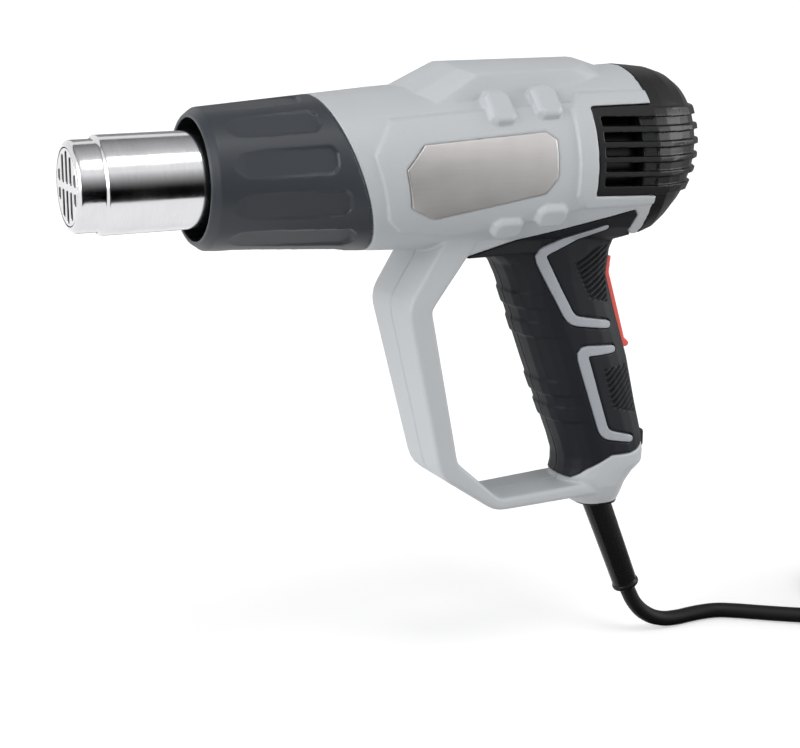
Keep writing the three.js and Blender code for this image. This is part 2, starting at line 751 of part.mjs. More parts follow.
const coil = coilPoints();
const tailWay = new THREE.Vector3(-Math.sin(coil.angle), Math.cos(coil.angle), 0);
const plugAxisZ = FLOOR_Z + PLUG_HALF_HEIGHT + GAP;
const plugStart = new THREE.Vector3(...coil.points.at(-1));
plugStart.addScaledVector(tailWay, PLUG_TAIL).setZ(plugAxisZ);

// The coil's tube, from a straight run at its start, round its loops and down to the plug.
function coilLine() {
  const diameter = 2 * CORD_RADIUS;
  const first = new THREE.Vector3(...coil.points[0]);
  const startWay = new THREE.Vector3(-Math.sin(radians(COIL_START)), Math.cos(radians(COIL_START)), 0);
  const last = new THREE.Vector3(...coil.points.at(-1));
  const drop = (share) => (1 - Math.cos(Math.PI * share)) / 2;
  const tail = [0.2, 0.4, 0.6].map((share) => {
    const point = last.clone().lerp(plugStart, share);
    return point.setZ(lerp(last.z, plugAxisZ, drop(share)));
  });
  const straight = [diameter, 0].map((back) => plugStart.clone().addScaledVector(tailWay, -back - GAP));
  const start = first.clone().addScaledVector(startWay, -diameter);
  const loops = coil.points.map((point) => new THREE.Vector3(...point));
  return [start, ...loops, ...tail, ...straight];
}

// Least gap between turns of the coil that aren't neighbours along the cord.
function leastGap(line) {
  const apart = LOOP_STEPS / 2;
  let least = Infinity;
  line.forEach((a, i) => {
    line.slice(i + apart).forEach((b) => {
      least = Math.min(least, a.distanceTo(b));
    });
  });
  return least - 2 * CORD_RADIUS;
}

function cordCoil() {
  const line = coilLine();
  console.log(`cord coil: least gap to itself ${leastGap(line).toFixed(2)} mm`);
  return tube(line.map((point) => point.toArray()), CORD_RADIUS, line.length - 1, 6);
}

function cordTie() {
  const tieAngle = radians(COIL_START + 180);
  const inner = (COIL_TURNS * COIL_PITCH) / 2 + CORD_RADIUS + TIE_ROOM;
  const outer = inner + TIE_THICKNESS;
  const low = FLOOR_Z;
  const high = coilFloor + (COIL_LAYERS - 1) * LAYER_PITCH + CORD_RADIUS + GAP + TIE_THICKNESS;
  const ring = block([-outer, -TIE_WIDTH / 2, low], [outer, TIE_WIDTH / 2, high]).subtract(
    block([-inner, -TIE_WIDTH, low + TIE_THICKNESS], [inner, TIE_WIDTH, high - TIE_THICKNESS]),
  );
  const geometry = geometryOf(ring).translate(COIL_RADIUS, 0, 0).rotateZ(tieAngle);
  return geometry.translate(COIL_CENTRE[0], COIL_CENTRE[1], 0);
}

// Plug: a moulded two-pin plug, its neck towards the cord
const plugFrame = new THREE.Matrix4()
  .makeBasis(tailWay, new THREE.Vector3(-tailWay.y, tailWay.x, 0), new THREE.Vector3(0, 0, 1))
  .setPosition(plugStart);

function plugBody() {
  // A station is its share of the length, half width, half height and squareness.
  const stations = [
    [0, PLUG_NECK_RADIUS, PLUG_NECK_RADIUS, 2],
    [0.3, PLUG_NECK_RADIUS * 1.25, PLUG_NECK_RADIUS * 1.25, 2],
    [0.5, PLUG_HALF_WIDTH * 0.72, PLUG_HALF_HEIGHT * 0.8, 2.3],
    [0.68, PLUG_HALF_WIDTH, PLUG_HALF_HEIGHT, 2.8],
    [0.94, PLUG_HALF_WIDTH, PLUG_HALF_HEIGHT, 2.8],
    [1, PLUG_HALF_WIDTH * 0.94, PLUG_HALF_HEIGHT * 0.92, 2.8],
  ];
  const sections = stations.map(([share, halfWidth, halfHeight, squareness]) =>
    Array.from({ length: 20 }, (_, i) => {
      const angle = (2 * Math.PI * i) / 20;
      const round = (value) => Math.sign(value) * Math.abs(value) ** (2 / squareness);
      return new THREE.Vector3(
        share * PLUG_LENGTH,
        halfWidth * round(Math.cos(angle)),
        halfHeight * round(Math.sin(angle)),
      );
    }),
  );
  return geometryOf(loft(sections)).applyMatrix4(plugFrame);
}

function plugPin(side) {
  const geometry = new THREE.CylinderGeometry(PLUG_PIN_RADIUS, PLUG_PIN_RADIUS, PLUG_PIN_LENGTH, 12);
  geometry.rotateZ(-Math.PI / 2);
  geometry.translate(PLUG_LENGTH + GAP + PLUG_PIN_LENGTH / 2, (side * PLUG_PIN_SPACING) / 2, 0);
  return geometry.applyMatrix4(plugFrame);
}

const cordTube = (extra) => tube(cordRoute, CORD_RADIUS + extra, CORD_STEPS, CORD_SIDES);

function strainRelief() {
  const end = SLEEVE_LENGTH;
  const neck = SLEEVE_TOP_RADIUS - SLEEVE_END_RADIUS;
  const profile = [
    [0, 0],
    [SLEEVE_TOP_RADIUS, 0],
    [SLEEVE_TOP_RADIUS - neck * 0.5, end * 0.4],
    [SLEEVE_END_RADIUS, end - SLEEVE_LIP_LENGTH - SLEEVE_LIP],
    [SLEEVE_END_RADIUS + SLEEVE_LIP, end - SLEEVE_LIP_LENGTH],
    [SLEEVE_END_RADIUS + SLEEVE_LIP, end - SLEEVE_LIP],
    [SLEEVE_END_RADIUS, end],
    [0, end],
  ].map(([radius, down]) => new THREE.Vector2(radius, -down));
  const body = new THREE.LatheGeometry(profile, 20).rotateX(Math.PI / 2);
  body.rotateY(-radians(SLEEVE_LEAN)).translate(exitX, 0, baseZ);
  const flange = new THREE.CylinderGeometry(SLEEVE_FLANGE_RADIUS, SLEEVE_FLANGE_RADIUS, SLEEVE_FLANGE, 20);
  flange.rotateX(Math.PI / 2).translate(exitX, 0, sleeveTop + SLEEVE_FLANGE / 2);
  const stemLength = SLEEVE_PLUG_DEPTH + GAP;
  const stem = new THREE.CylinderGeometry(SLEEVE_PLUG_RADIUS, SLEEVE_PLUG_RADIUS, stemLength, 20);
  stem.rotateX(Math.PI / 2).translate(exitX, 0, baseZ + (SLEEVE_PLUG_DEPTH - GAP) / 2);
  const low = block([-WIDE, -WIDE, 2 * FLOOR_Z], [BACK_X + WIDE, WIDE, sleeveTop + SLEEVE_FLANGE]);
  return solid(flange).add(solid(body).intersect(low)).add(solid(stem)).subtract(solid(cordTube(GAP)));
}

function exitSocket() {
  const radius = SLEEVE_PLUG_RADIUS + GAP;
  const depth = SLEEVE_PLUG_DEPTH + GAP;
  const socket = new THREE.CylinderGeometry(radius, radius, 2 * depth, 20).rotateX(Math.PI / 2);
  return solid(socket.translate(exitX, 0, baseZ)).add(solid(cordTube(2 * GAP)));
}

// Cord clamp: a bar across the cord, screwed to two posts of the left half

const clampMiddle = CLAMP_TOP - CLAMP_HEIGHT / 2;
const clampPosts = [-1, 1].map((side) => exitX + (side * CLAMP_SPAN) / 2);
const clampFace = CORD_RADIUS + GAP;

function cordClamp() {
  const reach = CLAMP_SPAN / 2 + CLAMP_WIDTH / 2;
  const [low, high] = [CLAMP_TOP - CLAMP_HEIGHT, CLAMP_TOP];
  const bar = block([exitX - reach, clampFace, low], [exitX + reach, clampFace + CLAMP_THICKNESS, high]);
  const feet = clampPosts.map((x) =>
    block([x - CLAMP_WIDTH / 2, 0, low], [x + CLAMP_WIDTH / 2, clampFace + GAP, high]),
  );
  const holes = clampPosts.map((x) => crossBar(x, clampMiddle, CLAMP_SCREW_RADIUS + GAP, -WIDE, WIDE, 10));
  return joined([bar, ...feet]).subtract(joined(holes));
}

function clampScrew(x) {
  const head = clampFace + CLAMP_THICKNESS + GAP + SCREW_HEAD_HEIGHT;
  return screw(x, clampMiddle, head, -SCREW_GRIP, CLAMP_SCREW_RADIUS, CLAMP_SCREW_HEAD, SCREW_HEAD_HEIGHT);
}

function clampBosses() {
  const bossRoot = -gripSection(clampMiddle).halfWidth + CORE + 1;
  const boss = (x) => crossBar(x, clampMiddle, CLAMP_BOSS_RADIUS, bossRoot, -GAP, 12);
  const hole = (x) => crossBar(x, clampMiddle, CLAMP_SCREW_RADIUS + GAP, -SCREW_GRIP - GAP, WIDE, 10);
  return joined(clampPosts.map(boss)).subtract(joined(clampPosts.map(hole)));
}

// Housing: raised forms, then the shell, then its two halves

// The hump on top: a convex form between the edge of its crown and its foot on the barrel.
function hump() {
  const footSink = 0.5; // foot under the barrel's surface
  const crown = barrelRadius(EDGE_X + 46.4) + HUMP_RISE;
  const onCrown = (x, y) => [x, y, Math.sqrt(crown * crown - y * y)];
  const onBarrel = (x, degrees) => {
    const radius = barrelRadius(x) - footSink;
    return [x, radius * Math.cos(radians(degrees)), radius * Math.sin(radians(degrees))];
  };
  const top = [
    onCrown(EDGE_X + 42.5, 0),
    onCrown(EDGE_X + 43.3, 6),
    onCrown(EDGE_X + 45, 12),
    onCrown(EDGE_X + 51.1, 17),
    onCrown(SEAM_X - 19.6, 0),
    onCrown(SEAM_X - 19.9, 6),
    onCrown(SEAM_X - 20.6, 11),
    onCrown(SEAM_X - 27, 15.5),
  ];
  const foot = [
    onBarrel(EDGE_X + 21.4, 88),
    onBarrel(EDGE_X + 25.4, 66),
    onBarrel(EDGE_X + 31.7, 52),
    onBarrel(EDGE_X + 38.4, 50),
    onBarrel(EDGE_X + 50.4, 52.5),
    onBarrel(SEAM_X - 36, 57),
    onBarrel(SEAM_X - 19, 63),
    onBarrel(SEAM_X - 12, 68),
    onBarrel(SEAM_X - 7, 88),
  ];
  const points = [...top, ...foot].flatMap(([x, y, z]) => [
    new THREE.Vector3(x, y, z),
    new THREE.Vector3(x, -y, z),
  ]);
  return solid(new ConvexGeometry(points));
}

// Raised pads on the barrel, each at a place along it and an angle up from level, on both sides.
function bumps() {
  const places = [
    [SEAM_X - 62.5, 43.5, UPPER_BUMP],
    [SEAM_X - 43.3, 45, UPPER_BUMP],
    [SEAM_X - 59.8, -39, LOWER_BUMP],
    [SEAM_X - 43, -30, LOWER_BUMP],
  ];
  const outlineOf = (size) => {
    const [u, v] = size.map((value) => value / 2);
    const [flatU, flatV] = [u - BUMP_CUT, v - BUMP_CUT];
    const corners = [
      [-u, -flatV],
      [-flatU, -v],
      [flatU, -v],
      [u, -flatV],
      [u, flatV],
      [flatU, v],
      [-flatU, v],
      [-u, flatV],
    ];
    return grown(corners, -BUMP_BEVEL);
  };
  const bevel = { bevelSize: BUMP_BEVEL, bevelThickness: BUMP_BEVEL, bevelSegments: 1 };
  return joined(
    places.flatMap(([x, degrees, size]) =>
      [90 - degrees, degrees - 90].map((turn) => {
        const pad = new THREE.ExtrudeGeometry(shapeOf(outlineOf(size)), { depth: 2 * BUMP_RISE, ...bevel });
        pad.translate(x, 0, barrelRadius(x) - BUMP_RISE - BUMP_BEVEL).rotateX(radians(turn));
        return solid(pad);
      }),
    ),
  );
}

// A closed strap from the barrel's underside, down in front of the grip and back to its base.
function frontLoop(margin) {
  const stations = bent(LOOP_STATIONS, LOOP_CORNER);
  const points = stations.map(([x, z]) => new THREE.Vector2(SEAM_X + x, z));
  const sections = stations.map(([, , thickness, width], i) => {
    const back = i > 0 ? points[i].clone().sub(points[i - 1]).normalize() : null;
    const ahead = i < points.length - 1 ? points[i + 1].clone().sub(points[i]).normalize() : null;
    const way = (back ?? ahead).clone().add(ahead ?? back).normalize();
    const stretch = 1 / way.dot(back ?? ahead);
    const [halfT, halfW] = [thickness / 2 + margin, width / 2 + margin];
    const corner = (u, v, quarter) =>
      [0, 45, 90].map((degrees) => {
        const angle = radians(degrees + 90 * quarter);
        return [u + LOOP_ROUNDING * Math.cos(angle), v + LOOP_ROUNDING * Math.sin(angle)];
      });
    const [u, v] = [halfT - LOOP_ROUNDING, halfW - LOOP_ROUNDING];
    const ring = [...corner(u, v, 0), ...corner(-u, v, 1), ...corner(-u, -v, 2), ...corner(u, -v, 3)];
    return ring.map(
      ([offset, y]) =>
        new THREE.Vector3(
          points[i].x + way.y * offset * stretch,
          y,
          points[i].y - way.x * offset * stretch,
        ),
    );
  });
  return loft(sections);
}

function housing() {
  const front = EDGE_X - 2 * SPIGOT_REACH;
  const panel = across(panelOutline).intersect(barrel(-PANEL_RISE, front, SEAM_X));
  const collarCone = turned([
    [collarX, 0],
    [collarX, barrelRadius(collarX) + COLLAR_RISE],
    [SEAM_X, SEAM_RADIUS + COLLAR_END_RISE],
    [SEAM_X, 0],
  ]);
  const collar = across(collarOutline).intersect(collarCone);
  const seatFloor = barrel(BADGE_SINK + GAP - PANEL_RISE, front, BACK_X);
  const badgeSeat = across(grown(badgeOutline, GAP)).subtract(seatFloor);
  const raised = joined([bodyForm(0), panel, collar, bumps(), hump(), frontLoop(0)]).subtract(badgeSeat);
  const shell = raised.subtract(across(grown(skinOutline, GAP)).subtract(frontLoop(0))).add(bodyForm(CORE));
  const bore = barrel(CAVITY, front - 1, SEAM_X + 1).subtract(underside(CAVITY));
  const inside = bore.add(grip(CAVITY, CAVITY_FLOOR));
  const vents = across(grown(tongueOutline, GAP)).subtract(barrel(SEAM_RADIUS / 2, front, BACK_X));
  const hollow = shell.subtract(inside).subtract(vents).subtract(across(grown(guardSide, GAP)));
  return hollow
    .add(clampBosses())
    .subtract(rockerPocket())
    .subtract(crossBar(pinX, PIN_HEIGHT, PIN_RADIUS + GAP, -pinEnd - GAP, pinEnd + GAP))
    .subtract(exitSocket())
    .subtract(screwHoles());
}

// Soft grip and its trims

// Each ridge is a slice of the grip moved forward, so that it runs out on the grip's sides.
function fingerRidges() {
  const forward = new THREE.Vector3(-RIDGE_PROUD, 0, 0);
  const ahead = (z) => gripRing(z, RIDGE_SIDE_SINK).map((point) => point.add(forward));
  const ridge = (z) => {
    const [low, high] = [z - RIDGE_HEIGHT / 2, z + RIDGE_HEIGHT / 2];
    const sunk = SKIN / 2;
    return loft([gripRing(low, sunk), ahead(low + RIDGE_EDGE), ahead(high - RIDGE_EDGE), gripRing(high, sunk)]);
  };
  return joined(RIDGES.map(ridge));
}

function softGrip() {
  const windows = Object.values(trimLines).map((line) => across(trimBand(line, GAP)));
  const outside = bodyForm(0).intersect(across(skinOutline)).add(fingerRidges());
  const layer = outside.subtract(bodyForm(SKIN));
  return layer.subtract(joined(windows)).subtract(rockerPocket()).subtract(frontLoop(GAP));
}

function trim(line) {
  const layer = bodyForm(-TRIM_PROUD).subtract(bodyForm(SKIN));
  return layer.intersect(across(trimBand(line, 0)));
}

function badge() {
  const front = EDGE_X - 2 * SPIGOT_REACH;
  const plate = barrel(-PANEL_RISE - BADGE_PROUD, front, SEAM_X).subtract(
    barrel(BADGE_SINK - PANEL_RISE, front - 1, SEAM_X + 1),
  );
  return plate.intersect(across(badgeOutline));
}

// Nose guard

const spigotEnd = EDGE_X + SPIGOT_REACH;
const cavityRadius = (x) => barrelRadius(x) - CAVITY;

function noseGuard() {
  const cone = turned([
    [GUARD_X, 0],
    [GUARD_X, MOUTH_RADIUS + MOUTH_LIP],
    [GUARD_X + MOUTH_CHAMFER, barrelRadius(GUARD_X + MOUTH_CHAMFER)],
    [WAIST_X, WAIST_RADIUS],
    [WAIST_X + SPIGOT_REACH, barrelRadius(WAIST_X + SPIGOT_REACH)],
    [WAIST_X + SPIGOT_REACH, 0],
  ]);
  const root = EDGE_X - SPIGOT_REACH;
  const spigot = turned([
    [root, 0],
    [root, cavityRadius(root) - GAP],
    [spigotEnd, cavityRadius(spigotEnd) - GAP],
    [spigotEnd, 0],
  ]);
  const bore = turned([
    [GUARD_X - 1, 0],
    [GUARD_X - 1, MOUTH_RADIUS],
    [spigotEnd + 1, MOUTH_RADIUS],
    [spigotEnd + 1, 0],
  ]);
  return cone.intersect(across(guardSide)).subtract(flutes()).add(spigot).subtract(bore);
}

// Shallow grooves with a flat floor, deepest at the rear, that run out towards the mouth. Their floors are the
// faces of one prism with as many sides as there are flutes.
function flutes() {
  const start = GUARD_X + FLUTE_START;
  const end = edgeAt(-guardReach);
  const knots = [start, start + FLUTE_RAMP, end].map((x, i) => [x, barrelRadius(x) - FLUTE_DEPTHS[i]]);
  const profile = [[start, 0], ...knots, [end, 0]].map(
    ([x, depth]) => new THREE.Vector2(depth / Math.cos(Math.PI / FLUTES), x),
  );
  const prism = new THREE.LatheGeometry(profile, FLUTES).rotateZ(-Math.PI / 2);
  const floor = solid(prism.rotateX(radians(FLUTE_PHASE) - Math.PI / FLUTES));
  const side = FLUTE_WIDTH / 2;
  const grooves = Array.from({ length: FLUTES }, (_, i) => {
    const turn = radians(FLUTE_PHASE) + (2 * Math.PI * i) / FLUTES;
    const length = edgeAt(barrelRadius(start) * Math.cos(turn)) - FLUTE_MARGIN - start;
    const outline = [
      [0, -side],
      [length - FLUTE_CORNER, -side],
      [length, -side + FLUTE_CORNER],
      [length, side - FLUTE_CORNER],
      [length - FLUTE_CORNER, side],
      [0, side],
    ];
    const groove = new THREE.ExtrudeGeometry(shapeOf(outline), { depth: SEAM_RADIUS, bevelEnabled: false });
    return solid(groove.translate(start, 0, 0).rotateX(turn));
  });
  return joined(grooves).subtract(floor);
}

// Outlet and heater

const flangeX = spigotEnd + GAP;
const flangeEnd = flangeX + FLANGE_THICKNESS;
const outletRear = flangeEnd + OUTLET_TAIL;
const outletBore = OUTLET_RADIUS - OUTLET_WALL;
const tipBore = TIP_RADIUS - OUTLET_WALL;

function outletTube() {
  const rampEnd = TIP_LENGTH + TIP_RAMP;
  return turned([
    [0, LIP_RADIUS],
    [0, TIP_RADIUS - 0.8 * LIP_LENGTH],
    [0.2 * LIP_LENGTH, TIP_RADIUS - 0.3 * LIP_LENGTH],
    [0.5 * LIP_LENGTH, TIP_RADIUS - 0.1 * LIP_LENGTH],
    [LIP_LENGTH, TIP_RADIUS],
    [TIP_LENGTH, TIP_RADIUS],
    [rampEnd - TIP_RAMP / 2, OUTLET_RADIUS],
    [rampEnd, OUTLET_RADIUS + BEAD_RISE],
    [rampEnd + TIP_RAMP / 2, OUTLET_RADIUS],
    [outletRear, OUTLET_RADIUS],
    [outletRear, outletBore],
    [rampEnd + OUTLET_WALL, outletBore],
    [TIP_LENGTH + OUTLET_WALL, tipBore],
    [LIP_LENGTH, tipBore],
    [OUTLET_WALL, LIP_RADIUS],
  ]);
}

function outletGrille() {
  const radius = LIP_RADIUS - GAP;
  const reach = radius - GRILLE_RIM;
  const pitch = (2 * reach) / GRILLE_SLOTS;
  const slots = Array.from({ length: GRILLE_SLOTS }, (_, i) => {
    const y = (i - (GRILLE_SLOTS - 1) / 2) * pitch;
    const far = Math.sqrt(reach * reach - (Math.abs(y) + GRILLE_SLOT_WIDTH / 2) ** 2);
    return [-1, 1].map((side) => {
      const ends = [(side * GRILLE_BAR) / 2, side * far].sort((a, b) => a - b);
      return block([-1, y - GRILLE_SLOT_WIDTH / 2, ends[0]], [WIDE, y + GRILLE_SLOT_WIDTH / 2, ends[1]]);
    });
  });
  const disc = turned([[0, 0], [0, radius], [GRILLE_THICKNESS, radius], [GRILLE_THICKNESS, 0]], 32);
  return disc.subtract(joined(slots.flat()));
}

const ring = (from, to, inner, outer) =>
  turned([[from, inner], [from, outer], [to, outer], [to, inner]], ROUND_INSIDE);

const disc = (from, to, radius) => turned([[from, 0], [from, radius], [to, radius], [to, 0]], ROUND_INSIDE);

const micaOuter = outletBore - GAP;
const micaStart = HEATER_SETBACK - MICA_MARGIN;
const heaterEnd = outletRear - CUTOUT_LENGTH - GAP;

function heaterCore() {
  const shape = circleShape(CORE_RADIUS, 24);
  for (let i = 0; i < CORE_CHANNELS; i += 1) {
    const angle = (2 * Math.PI * i) / CORE_CHANNELS;
    const reach = CORE_RADIUS - CORE_CHANNEL - CORE_WEB;
    shape.holes.push(circleShape(CORE_CHANNEL, 8, [reach * Math.cos(angle), reach * Math.sin(angle)]));
  }
  return along(shape, HEATER_SETBACK, heaterEnd);
}

// Resistance wire wound on the core, between it and the mica.
function heaterWire() {
  const radius = (CORE_RADIUS + micaOuter - MICA_WALL) / 2;
  const [from, to] = [HEATER_SETBACK + WIRE_MARGIN, heaterEnd - WIRE_MARGIN];
  const steps = WIRE_TURNS * WIRE_STEPS;
  const points = Array.from({ length: steps + 1 }, (_, i) => {
    const angle = (2 * Math.PI * WIRE_TURNS * i) / steps;
    return [lerp(from, to, i / steps), radius * Math.cos(angle), radius * Math.sin(angle)];
  });
  return tube(points, WIRE_RADIUS, steps, 4);
}

// Blower

const motorRear = SEAM_X - MOTOR_SETBACK;
const motorFront = motorRear - MOTOR_LENGTH;
const fanEnd = motorFront - MOTOR_STANDOFF;
const fanX = fanEnd - FAN_DEPTH;
const ductEnd = fanX - RUNNING_GAP;
const shaftEnd = motorRear - SHAFT_POCKET;
const boardX = motorRear + GAP;

function fanDuct() {
  const start = flangeEnd + GAP;
  const lip = 3;
  const [inner, wide] = [OUTLET_RADIUS + GAP, cavityRadius(ductEnd) - GAP - DUCT_WALL - GAP];
  const profile = [
    [start, inner],
    [start, cavityRadius(start) - GAP],
    [start + lip, cavityRadius(start + lip) - GAP],
    [start + lip, inner + DUCT_WALL],
    [ductEnd - lip, wide + DUCT_WALL],
    [ductEnd - lip, cavityRadius(ductEnd - lip) - GAP],
    [ductEnd, cavityRadius(ductEnd) - GAP],
    [ductEnd, wide],
  ];
  return turned(profile, ROUND_INSIDE);
}

function impeller() {
  const hub = ring(fanX, fanEnd, SHAFT_RADIUS + GAP / 3, HUB_RADIUS);
  const blades = Array.from({ length: FAN_BLADES }, (_, i) => {
    const height = FAN_RADIUS - HUB_RADIUS + 2;
    const length = FAN_DEPTH / Math.cos(radians(BLADE_PITCH));
    const blade = new THREE.BoxGeometry(length, BLADE_THICKNESS, height);
    blade.rotateZ(radians(BLADE_PITCH)).translate((fanX + fanEnd) / 2, 0, FAN_RADIUS - height / 2);
    return solid(blade.rotateX((2 * Math.PI * i) / FAN_BLADES));
  });
  return joined([hub, ...blades]).intersect(ring(fanX, fanEnd, SHAFT_RADIUS + GAP / 3, FAN_RADIUS));
}

function motorCan() {
  const bore = SHAFT_RADIUS + GAP;
  const profile = [
    [shaftEnd, bore],
    [shaftEnd, 0],
    [motorRear, 0],
    [motorRear, MOTOR_RADIUS - 1],
    [motorRear - 1, MOTOR_RADIUS],
    [motorFront + 1, MOTOR_RADIUS],
    [motorFront, MOTOR_RADIUS - 1],
    [motorFront, bore],
  ];
  return turned(profile, ROUND_INSIDE);
}

function motorMount() {
  const [from, to] = [motorFront + 1, motorFront + 1 + MOUNT_DEPTH];
  const inner = ring(from, to, MOTOR_RADIUS + GAP, MOTOR_RADIUS + GAP + MOUNT_WALL);
  const outerProfile = [
    [from, cavityRadius(from) - GAP - MOUNT_WALL],
    [from, cavityRadius(from) - GAP],
    [to, cavityRadius(to) - GAP],
    [to, cavityRadius(to) - GAP - MOUNT_WALL],
  ];
  const outer = turned(outerProfile, ROUND_INSIDE);
  const spokes = Array.from({ length: MOUNT_SPOKES }, (_, i) => {
    const [low, high] = [MOTOR_RADIUS + GAP + MOUNT_WALL / 2, cavityRadius(from) - GAP - MOUNT_WALL / 2];
    const spoke = new THREE.BoxGeometry(to - from, MOUNT_WALL, high - low);
    spoke.translate((from + to) / 2, 0, (low + high) / 2);
    return solid(spoke.rotateX((2 * Math.PI * i) / MOUNT_SPOKES));
  });
  return joined([inner, outer, ...spokes]);
}

function rectifier() {
  const side = RECTIFIER_SIZE / 2;
  const start = boardX + BOARD_THICKNESS + GAP;
  return block([start, -side, -side], [start + RECTIFIER_HEIGHT, side, side]);
}

// Leads: a pair from the cord to the switch, and a pair from the switch to the motor's board

function supplyLead(side) {
  const last = gripBack(SWITCH_FOOT) - SWITCH_SETBACK - SWITCH_DEPTH / 2;
  const points = [
    [exitX, side * 1.6, cordTop + GAP],
    [exitX - 2, side * 3, -108],
    [exitX - 8, side * 4.5, -92],
    [last, side * 4.5, -78],
    [last, side * 4.5, SWITCH_FOOT - GAP],
  ];
  return tube(points, LEAD_RADIUS, 10, 6);
}

function motorLead(side) {
  const first = gripBack(SWITCH_TOP) - SWITCH_SETBACK - SWITCH_DEPTH / 2;
  const boardEdge = -Math.sqrt(BOARD_RADIUS ** 2 - 36) - 2 * GAP - 0.5;
  const points = [
    [first, side * 5, SWITCH_TOP + GAP],
    [first + 3, side * 5.5, -40],
    [first + 8, side * 6, -30],
    [boardX - 6.5, side * 6, -21.5],
    [boardX + BOARD_THICKNESS / 2, side * 6, boardEdge],
  ];
  return tube(points, LEAD_RADIUS, 10, 6);
}

// Rear cap

// The cap's dome from the seam to its back, moved out or in by an offset.
function capForm(offset) {
  const sections = CAP_STATIONS.map(([share, width, lift]) =>
    Array.from({ length: ROUND }, (_, i) => {
      const angle = (2 * Math.PI * i) / ROUND;
      const radius = SEAM_RADIUS * width + offset;
      const x = SEAM_X + share * (CAP_DEPTH + offset);
      return new THREE.Vector3(x, radius * Math.cos(angle), lift + radius * Math.sin(angle));
    }),
  );
  return loft(sections);
}

function rearCap() {
  const reach = (offset) => barrel(-offset, ventX, SEAM_X + 0.5).add(capForm(offset));
  const tongue = across(tongueOutline).intersect(barrel(VENT_FLOOR, ventX, SEAM_X + 1));
  const slotHeight = (TONGUE_HIGH - TONGUE_LOW - 2 * VENT_BAND - RIBS * RIB_THICKNESS) / (RIBS + 1);
  const slotLows = Array.from(
    { length: RIBS + 1 },
    (_, i) => TONGUE_LOW + VENT_BAND + i * (slotHeight + RIB_THICKNESS),
  );
  const end = BACK_X + CAP_DEPTH;
  const falling = (from, to, low, high) => {
    const [first, last] = [fallAt(from), fallAt(to)];
    return across([[from, low - first], [to, low - last], [to, high - last], [from, high - first]]);
  };
  const ribs = slotLows.slice(1).map((low) => falling(ventX, end, low - RIB_THICKNESS, low));
  const lowBand = falling(ventX, end, TONGUE_LOW, TONGUE_LOW + VENT_BAND);
  const highBand = falling(ventX, end, TONGUE_HIGH - VENT_BAND, TONGUE_HIGH);
  const slab = (from, to, low, high) => block([from, -WIDE, low], [to, WIDE, high]);
  const bandCorner = slab(ventX, SEAM_X, TONGUE_HIGH - VENT_BAND, TONGUE_HIGH);
  const frame = slab(ventX, ventX + VENT_FRAME, TONGUE_LOW, TONGUE_HIGH);
  const slots = slotLows.map((low) =>
    falling(ventX + VENT_FRAME, SEAM_X - 2 * VENT_FRAME, low, low + slotHeight),
  );
  const lipEnd = SEAM_X - CAP_LIP;
  const lipRing = ring(lipEnd, SEAM_X + 1, SEAM_RADIUS / 2, cavityRadius(lipEnd) - GAP);
  const lip = lipRing.subtract(underside(CAVITY + GAP));
  const ribbed = joined([...ribs, lowBand, highBand, bandCorner, frame]).intersect(reach(RIB_PROUD));
  const bore = barrel(CAVITY + CAP_WALL, ventX - 1, SEAM_X + 0.5).subtract(underside(CAVITY + CAP_WALL));
  const room = bore.add(capForm(-CAP_WALL).subtract(underside(CAP_WALL)));
  const behindVent = barrel(VENT_FLOOR + VENT_WALL, ventX - 1, SEAM_X);
  const ventRoom = across(grown(tongueOutline, 1)).intersect(behindVent);
  return joined([capForm(0).subtract(underside(0)), tongue, ribbed, lip])
    .subtract(room)
    .subtract(ventRoom.subtract(slab(lipEnd, SEAM_X + 1, -WIDE, WIDE)))
    .subtract(joined(slots));
}

// Finishes

const finish = (color, roughness, metalness) =>
  new THREE.MeshStandardMaterial({ color, roughness, metalness });

const FINISHES = {
  shell: finish('#bcc4c8', 0.5, 0),
  guard: finish('#32363c', 0.55, 0),
  black: finish('#17181b', 0.4, 0),
  soft: finish('#24262a', 0.75, 0),
  trim: finish('#9fa3a8', 0.55, 0),
  red: finish('#e0453c', 0.4, 0),
  chrome: finish('#d8dadd', 0.12, 1),
  badge: finish('#c4c2c4', 0.35, 1),
  steel: finish('#a9adb2', 0.35, 1),
  ceramic: finish('#e6dfd0', 0.8, 0),
  mica: finish('#b59a6a', 0.6, 0),
  board: finish('#2f6b3f', 0.5, 0),
  cord: finish('#1b1b1d', 0.6, 0),
};

// Assembly

const tool = new THREE.Group();
const barrelFrame = new THREE.Group();
barrelFrame.position.set(...ORIGIN.map((value) => -value));
tool.add(barrelFrame);

function place(name, form, look) {
  const geometry = form.isBufferGeometry ? form : geometryOf(form);
  const mesh = new THREE.Mesh(geometry, FINISHES[look]);
  mesh.name = name;
  barrelFrame.add(mesh);
}

const sides = [
  ['left', -1],
  ['right', 1],
];
const wholeHousing = housing();
const wholeGrip = softGrip();
const wholeBadge = badge();
for (const [side, sign] of sides) {
  place(`housing_${side}`, halfOf(wholeHousing, sign), 'shell');
  place(`grip_${side}`, halfOf(wholeGrip, sign), 'soft');
  place(`badge_${side}`, halfOf(wholeBadge, sign), 'badge');
  for (const [name, line] of Object.entries(trimLines)) {
    place(`${name}_${side}`, halfOf(trim(line), sign), 'trim');
  }
}
place('nose_guard', noseGuard(), 'guard');
place('rear_cap', rearCap(), 'black');
screwPlaces.forEach((spot, i) => place(`housing_screw_${i + 1}`, housingScrew(spot), 'steel'));

